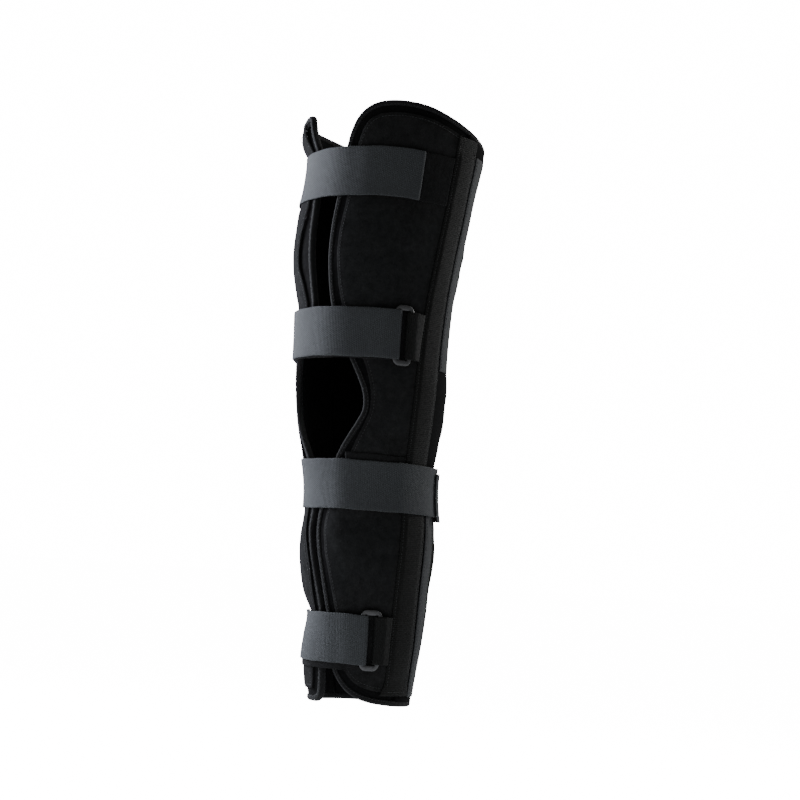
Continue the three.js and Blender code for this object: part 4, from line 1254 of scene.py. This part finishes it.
def rear_strip(name, where):
    """Grey band behind a stay pocket, crowned across by 1 - v^2 and waved along by a slow sine."""
    width, ups = STRIPS[where]

    def upper_face(v, z):
        crown = STRIP_CROWN * (1 - v * v)
        return SLEEVE_TOP + REAR_STRIP_THICKNESS + crown + STRIP_WAVE * np.sin(z / STRIP_WAVE_REACH)

    mesh = upright_band(
        SIDES[name], strip_middle(width), width, *strip_ends(ups), SLEEVE_TOP, upper_face, STRIP_RIM,
    )
    node = f"rear_strip_{where}_{name}"
    return add_piece(f"back_strip_{where}_{name}", mesh, [REAR_STRIP], "rear_strip", node)


def strip_stitches():
    """Two rows up each grey strip."""
    rows = []
    for side in SIDES.values():
        for width, ups in STRIPS.values():
            low, high = strip_ends(ups)
            z = np.linspace(low + ROW_END, high - ROW_END, STRIP_ROW_SAMPLES)
            for off in (STRIP_ROW_INSET - width / 2, width / 2 - STRIP_ROW_INSET):
                turn = side * (strip_middle(width)(z) + off / wrap_radius(z))
                rows.append(stitch_row(turn, z, SLEEVE_TOP + STRIP_ROW_RISE + swell(turn, z)))
    return stitches("back_strip_stitches", rows, "rear_strip")


# Straps

def strap_place(name):
    """Height of the middle of a strap, the radius there, and the turn of the pocket's front edge."""
    z = STRAP_HEIGHTS[name]
    return z, float(wrap_radius(z)), float(pocket_front(z))


def level_at(rise):
    """Function that gives the same rise at every turn."""
    return lambda turn: np.full_like(turn, rise)


def run_between(start, end, rise_at):
    """Even small steps of turn from one place to the next, with the rise at each."""
    steps = max(3, int(abs(end - start) / math.radians(STRAP_STEP)) + 1)
    turn = np.linspace(start, end, steps + 1)
    return np.stack([turn, rise_at(turn)], -1)


def eased_maximum(a, b):
    """The larger of two rises, with the corner between them rounded off."""
    return (a + b + np.sqrt((a - b) ** 2 + EASING ** 2) - EASING) / 2


def rise_over(supports, floor, radius):
    """Rise that clears the supports (from, to, rise over it), with a smooth ramp beside each."""
    ramp = SOFT_RAMP / radius

    def rise(turn):
        total = np.full_like(turn, floor)
        for start, end, over in supports:
            outside = np.maximum(np.maximum(start - turn, turn - end), 0)
            raised = floor + (over - floor) * smooth(1 - outside / ramp)
            total = eased_maximum(total, raised)
        return total

    return rise


def band_mesh(path, z, width, thickness, drop=0.0, slant=0.0, wave=STRAP_WAVE):
    """Closed band along a path of (turn, rise). Its faces stand half the thickness off the path, its
    selvedges are rounded and cup up a little, and its edges wander by a few tenths as two sines. slant
    follows the slanted front edge of a pocket, and drop lowers the band along its way."""
    radius = float(wrap_radius(z))
    turn, rise = path[:, 0], path[:, 1]
    run, climb = np.gradient(turn) * radius, np.gradient(rise)
    length = np.hypot(run, climb)
    travelled = np.concatenate([[0], np.cumsum(np.hypot(np.diff(turn) * radius, np.diff(rise)))])
    across = spaced(width, STRAP_WIDTH_STEP, STRAP_SELVEDGE)
    v = (across - 0.5) * width
    edge_wave = wave * sum(size * np.sin(travelled / reach + lead) for size, reach, lead in EDGE_WAVES)
    waved = v[:, None] + edge_wave[None, :] * (np.abs(v) / (width / 2))[:, None]
    height = z - np.broadcast_to(drop, turn.shape)[None, :] + waved
    lean = np.broadcast_to(slant, turn.shape)[None, :] * (pocket_front(height) - pocket_front(z))
    ends = rounded(np.minimum(travelled, travelled[-1] - travelled), STRAP_END_RIM)
    selvedges = rounded(np.minimum(across, 1 - across) * width, STRAP_SELVEDGE)
    half = thickness / 2 * selvedges[:, None] * ends[None, :]
    cup = STRAP_CUP * (2 * np.abs(v) / width) ** 4

    def face(sign):
        off = sign * half + cup[:, None]
        return on_form(
            turn + lean - climb / length * off / radius, height, rise + run / length * off,
        )

    flat = np.stack(np.broadcast_arrays(travelled[None, :], v[:, None]), -1)
    return layer_mesh(face(1), face(-1), flat)


def end_slant(turn, end, way):
    """1 at an end that follows a pocket, falling to 0 within the reach of the slant."""
    return way * np.clip(1 - np.abs(turn - end) / math.radians(SLANT_REACH), 0, 1)


def fold_round(bar_turn, way, radius):
    """Half turn round a bar: turn = bar + way * b sin(a), rise = middle - b cos(a), for a from 0 to pi."""
    bend = (OVER_LOOP - UNDER_LOOP) / 2
    angle = np.linspace(0, math.pi, FOLD_POINTS)
    rise = (UNDER_LOOP + OVER_LOOP) / 2 - bend * np.cos(angle)
    return np.stack([bar_turn + way * bend * np.sin(angle) / radius, rise], -1)


def ring_turns(name):
    """Turns of a loop's outer sides: the one that the strap holds and the one that the web holds."""
    _, radius, front = strap_place(name)
    web_side = front - RING_LEADS[name] / radius
    return web_side - RING_WIDTH / radius, web_side


def thigh_strap():
    """Strap from the medial pocket across the front, over its patch on the outer side."""
    z, radius, front = strap_place("thigh")
    end = front - THIGH_STRAP_END_GAP / radius
    support = (end - (PATCH_OVERLAP + LAYER_GAP) / radius, math.pi, OVER_PATCH_RISE)
    rise = rise_over([support], OUTSIDE_RISE, radius)
    start = LAYER_GAP / radius - front
    path = run_between(start, end, lambda turn: rise(turn) + STRAP_THICKNESS / 2)
    mesh = band_mesh(path, z, STRAP_WIDTH, STRAP_THICKNESS, slant=end_slant(path[:, 0], start, -1))
    return add_piece("thigh_band", mesh, [GREY_WEBBING, LOOP_CLOTH], "grey_webbing", "strap_thigh")


def loop_patch(name, node, z, width, start, end):
    """Patch of loop cloth between two turns, sewn down beside the pocket."""
    path = run_between(start, end, level_at(OUTSIDE_RISE + PATCH_THICKNESS / 2 - PATCH_SINK))
    mesh = band_mesh(path, z, width, PATCH_THICKNESS, slant=end_slant(path[:, 0], end, 1), wave=PATCH_WAVE)
    return add_piece(name, mesh, [LOOP_CLOTH], "loop_cloth", node)


def thigh_patch():
    """Loop patch on the outer side, between the thigh strap's end and the pocket."""
    z, radius, front = strap_place("thigh")
    start = front - (THIGH_STRAP_END_GAP + PATCH_OVERLAP) / radius
    end = front - LAYER_GAP / radius
    return loop_patch("thigh_loop_patch", "thigh_patch", z, STRAP_WIDTH, start, end)


def folded_strap(name):
    """Strap from the medial pocket through a loop, folded back over itself. The under layer hangs a
    little lower than the folded one, and its face with the loops looks outwards."""
    z, radius, front = strap_place(name)
    strap_side, _ = ring_turns(name)
    fold_turn = strap_side + (RING_BAR - RING_BEVEL) / radius
    on_itself = OUTSIDE_RISE + STRAP_THICKNESS + LAYER_GAP
    over = (strap_side - PAST_BAR / radius, math.pi, OVER_RING_RISE)
    rise = rise_over([over], on_itself, radius)
    start = LAYER_GAP / radius - front
    lower = run_between(start, fold_turn, level_at(UNDER_LOOP))
    upper = run_between(
        fold_turn, math.radians(FOLDED_TAIL_TURN), lambda turn: rise(turn) + STRAP_THICKNESS / 2,
    )
    path = np.concatenate([lower[:-1], fold_round(fold_turn, 1, radius), upper[1:]])
    near_fold = smooth((lower[:-1, 0] - fold_turn) * radius / SOFT_RAMP + 1)
    drop = np.zeros(len(path))
    drop[:len(near_fold)] = UNDER_LAYER_SHOWS[name] * (1 - near_fold)
    slant = np.where(np.arange(len(path)) < len(lower), end_slant(path[:, 0], start, -1), 0)
    mesh = band_mesh(path, z, STRAP_WIDTH, STRAP_THICKNESS, drop=drop, slant=slant)
    materials = [LOOP_CLOTH, GREY_WEBBING]
    return add_piece(name + "_band", mesh, materials, "grey_webbing", "strap_" + name)


def ring_web(name):
    """Black web from the pocket round the loop's other bar and back over itself."""
    z, radius, front = strap_place(name)
    _, web_side = ring_turns(name)
    fold_turn = web_side - (RING_BAR - RING_BEVEL) / radius
    start = front - LAYER_GAP / radius
    bar = web_side + PAST_BAR / radius
    sinks = UNDER_LOOP + STRAP_THICKNESS + LAYER_GAP - OVER_LOOP
    lower = run_between(start, fold_turn, level_at(UNDER_LOOP))
    top = run_between(fold_turn, bar, level_at(OVER_LOOP))
    down = run_between(bar, start, lambda turn: OVER_LOOP + sinks * smooth((turn - bar) / (start - bar)))
    path = np.concatenate([lower[:-1], fold_round(fold_turn, -1, radius), top[1:-1], down])
    mesh = band_mesh(path, z, WEB_WIDTH, STRAP_THICKNESS, slant=end_slant(path[:, 0], start, 1))
    return add_piece(
        "loop_web_" + name, turned_over(mesh), [BLACK_WEBBING], "black_webbing", "ring_web_" + name,
    )


def slide_loop(name):
    """Moulded loop: a rounded section, a superellipse |x|^3 + |y|^3 = 1, carried round a rounded
    rectangle and bent with the sleeve. Its end bars are wider than its side bars by |facing|^4."""
    z, radius, _ = strap_place(name)
    middle = sum(ring_turns(name)) / 2
    end_bar = (RING_LENGTH - STRAP_WIDTH) / 2
    corner = RING_CORNER - RING_BAR / 2
    x, y = (RING_WIDTH - RING_BAR) / 2 - corner, (RING_LENGTH - end_bar) / 2 - corner
    arc = np.linspace(0, math.pi / 2, LOOP_ARC_POINTS)
    line, facing = [], []
    for quarter, centre in enumerate(((x, y), (-x, y), (-x, -y), (x, -y))):
        angle = arc + quarter * math.pi / 2
        facing.append(np.stack([np.cos(angle), np.sin(angle)], -1))
        line.append(np.array(centre) + corner * facing[-1])
    line, facing = np.concatenate(line), np.concatenate(facing)
    share = np.linspace(0, 1, LOOP_ARC_POINTS)[:-1][:, None]
    ahead_line, ahead_facing = np.roll(line, -1, 0), np.roll(facing, -1, 0)
    fine = (line[:, None] + (ahead_line - line)[:, None] * share).reshape(-1, 2)
    outward = (facing[:, None] + (ahead_facing - facing)[:, None] * share).reshape(-1, 2)
    outward /= np.linalg.norm(outward, axis=1, keepdims=True)
    angle = np.arange(LOOP_SECTION_POINTS) * TURN / LOOP_SECTION_POINTS
    powers = np.abs(np.cos(angle)) ** LOOP_POWER + np.abs(np.sin(angle)) ** LOOP_POWER
    rounding = powers ** (-1 / LOOP_POWER)
    bar = RING_BAR + (end_bar - RING_BAR) * np.abs(outward[:, 1:2]) ** END_BAR_POWER
    off = (rounding * np.cos(angle))[None, :] * bar / 2
    lift = (rounding * np.sin(angle))[None, :] * RING_THICKNESS / 2
    turn = middle + (fine[:, :1] + outward[:, :1] * off) / radius
    height = z + (fine[:, 1:] + outward[:, 1:] * off)
    mesh = sweep_mesh(on_form(turn, height, RING_RISE + RING_THICKNESS / 2 + lift))
    return add_piece("slide_loop_" + name, turned_over(mesh), [PLASTIC], "plastic", "ring_" + name)


def below_knee_patch():
    """Loop patch under the strap below the knee, a little wider than it so that it shows above."""
    z, radius, front = strap_place("below_knee")
    end = front - LAYER_GAP / radius
    return loop_patch(
        "knee_loop_patch", "below_knee_patch", z + BELOW_KNEE_PATCH_SHOWS / 2,
        STRAP_WIDTH + BELOW_KNEE_PATCH_SHOWS, end - BELOW_KNEE_PATCH_LENGTH / radius, end,
    )


def below_knee_strap():
    """Strap once round the sleeve over both pockets, lapping over its own start at the back."""
    z, radius, front = strap_place("below_knee")
    margin = RAMP_MARGIN / radius
    rear = front + (POCKET_WIDTH + REAR_STRIP_GAP + CALF_STRIP_WIDTH) / radius + margin
    patch_from = front - (BELOW_KNEE_PATCH_LENGTH + LAYER_GAP) / radius - margin
    supports = [
        (patch_from, front, OVER_PATCH_RISE), (front - margin, rear, OVER_POCKET_RISE),
        (-rear, margin - front, OVER_POCKET_RISE), (TURN - rear, TURN - front + margin, OVER_POCKET_RISE),
        (front - margin - TURN, rear - TURN, OVER_POCKET_RISE),
    ]
    base = rise_over(supports, OUTSIDE_RISE, radius)
    lap = STRAP_THICKNESS + LAYER_GAP
    ramp = SOFT_RAMP / radius
    start, end = math.radians(LOOP_START_TURN), math.radians(LOOP_END_TURN)
    lap_from = start - TURN + margin
    path = run_between(
        start, end,
        lambda turn: base(turn) + lap * smooth((lap_from + ramp - turn) / ramp) + STRAP_THICKNESS / 2,
    )
    drop = STRAP_TAIL_DROP * np.clip((-front - path[:, 0]) / (-front - end), 0, 1)
    mesh = band_mesh(path[::-1], z, STRAP_WIDTH, STRAP_THICKNESS, drop=drop[::-1])
    materials = [GREY_WEBBING, LOOP_CLOTH]
    return add_piece("below_knee_band", mesh, materials, "grey_webbing", "strap_below_knee")


# Studio

CAMERA_TURN = 47.0
CAMERA_CLIMB = -5.6
CAMERA_ROLL = -4.2
CAMERA_AWAY = 1.812
HALF_VIEW = 13.0
IMAGE_SIDE = 800
ORIGIN_PIXEL = (371.0, 407.0)
SENSOR = 36.0
FLOOR_DROP = 0.13
SURROUND_SEEN = 16.0
SURROUND_GLOW = 0.1
FLOOR_GLOW = 15.5
FLOOR_REACH = 30.0
FLOOR_COLOUR = (0.9, 0.9, 0.9, 1)
WHITE = (1, 1, 1, 1)

# Name, direction in camera axes, distance, size, power and colour of each light
LIGHTS = [
    ("key", (-0.9, 0.3, -0.42), 1.6, 0.7, 60, (0.94, 0.98, 1.08)),
    ("fill", (-0.25, 0.5, 1.0), 2.2, 1.4, 4.4, (1, 1, 1)),
    ("rim_right", (0.95, 0.2, -0.6), 1.6, 0.6, 12, (1, 1, 1)),
    ("top", (0.1, 1.0, -0.3), 1.5, 0.5, 14, (1, 1, 1)),
]


def camera_axes():
    """Right, up and backward directions of the camera."""
    a, e, r = (math.radians(v) for v in (CAMERA_TURN, CAMERA_CLIMB, CAMERA_ROLL))
    back = np.array([math.sin(a) * math.cos(e), -math.cos(a) * math.cos(e), math.sin(e)])
    level = np.array([math.cos(a), math.sin(a), 0.0])
    upright = np.cross(back, level)
    right = level * math.cos(r) - upright * math.sin(r)
    up = upright * math.cos(r) + level * math.sin(r)
    return right, up, back


def placed(thing, right, up, back, place):
    """Stands a camera or lamp at a place with its own three axes."""
    pose = np.eye(4)
    pose[:3, 0], pose[:3, 1], pose[:3, 2], pose[:3, 3] = right, up, back, place
    thing.matrix_world = Matrix(pose.tolist())
    bpy.context.collection.objects.link(thing)


def add_camera():
    """Camera whose middle ray passes beside the origin, so that the origin falls on its pixel."""
    right, up, back = camera_axes()
    per_pixel = CAMERA_AWAY * math.tan(math.radians(HALF_VIEW)) / (IMAGE_SIDE / 2)
    off_right = (ORIGIN_PIXEL[0] - IMAGE_SIDE / 2) * per_pixel
    off_up = (IMAGE_SIDE / 2 - ORIGIN_PIXEL[1]) * per_pixel
    place = back * CAMERA_AWAY - right * off_right - up * off_up
    data = bpy.data.cameras.new("camera")
    data.sensor_width = SENSOR
    data.lens = SENSOR / 2 / math.tan(math.radians(HALF_VIEW))
    camera = bpy.data.objects.new("camera", data)
    placed(camera, right, up, back, place)
    bpy.context.scene.camera = camera


def add_light(name, towards, distance, size, power, colour):
    """Square area light that shines at the origin from a direction given in camera axes."""
    right, up, back = camera_axes()
    way = right * towards[0] + up * towards[1] + back * towards[2]
    way /= np.linalg.norm(way)
    side = np.cross((0, 0, 1), way)
    side /= np.linalg.norm(side)
    data = bpy.data.lights.new(name, "AREA")
    data.size, data.energy, data.color = size, power, colour
    lamp = bpy.data.objects.new(name, data)
    placed(lamp, side, np.cross(way, side), way, way * distance)


def white_surround():
    """World that the camera sees as white, while it lights the cloth only faintly."""
    world = bpy.data.worlds.new("surround")
    world.use_nodes = True
    tree = world.node_tree
    path = tree.nodes.new("ShaderNodeLightPath")
    seen = times(tree, path.outputs["Is Camera Ray"], SURROUND_SEEN - SURROUND_GLOW)
    strength = plus(tree, seen, SURROUND_GLOW)
    tree.links.new(strength, tree.nodes["Background"].inputs["Strength"])
    tree.nodes["Background"].inputs["Color"].default_value = WHITE
    return world


def pale_floor():
    """Pale matt floor that glows white to the camera, so that it meets the surround without a line. The
    shadow of the splint is the only tone on it."""
    pale = bpy.data.materials.new("pale_floor")
    pale.use_nodes = True
    tree = pale.node_tree
    shader = tree.nodes["Principled BSDF"]
    shader.inputs["Base Color"].default_value = FLOOR_COLOUR
    shader.inputs["Roughness"].default_value = 0.9
    path = tree.nodes.new("ShaderNodeLightPath")
    glow = times(tree, path.outputs["Is Camera Ray"], FLOOR_GLOW)
    shader.inputs["Emission Color"].default_value = WHITE
    tree.links.new(glow, shader.inputs["Emission Strength"])
    return pale


def add_studio():
    """White surround, pale floor, a strong key from behind on the left, a weak fill, a rim and a light from
    above that picks out the upper edges."""
    bpy.context.scene.world = white_surround()
    reach, low = FLOOR_REACH, -CALF_LENGTH * MM - FLOOR_DROP
    mesh = bpy.data.meshes.new("floor")
    corners = [(-reach, -reach, low), (reach, -reach, low), (reach, reach, low), (-reach, reach, low)]
    mesh.from_pydata(corners, [], [(0, 1, 2, 3)])
    mesh.materials.append(pale_floor())
    floor = bpy.data.objects.new("floor", mesh)
    bpy.context.collection.objects.link(floor)
    for light in LIGHTS:
        add_light(*light)


# The whole immobilizer

PADS = {name: flap_pad(name) for name in SIDES}
for name, pad in PADS.items():
    cover(name)
cover_stitches()
back_pad()
edge_binding()
binding_stitches()
for name in SIDES:
    stay_pocket(name)
    for where in STRIPS:
        rear_strip(name, where)
pocket_stitches()
strip_stitches()
thigh_strap()
thigh_patch()
below_knee_strap()
below_knee_patch()
for name in UNDER_LAYER_SHOWS:
    folded_strap(name)
    ring_web(name)
    slide_loop(name)

add_studio()
add_camera()
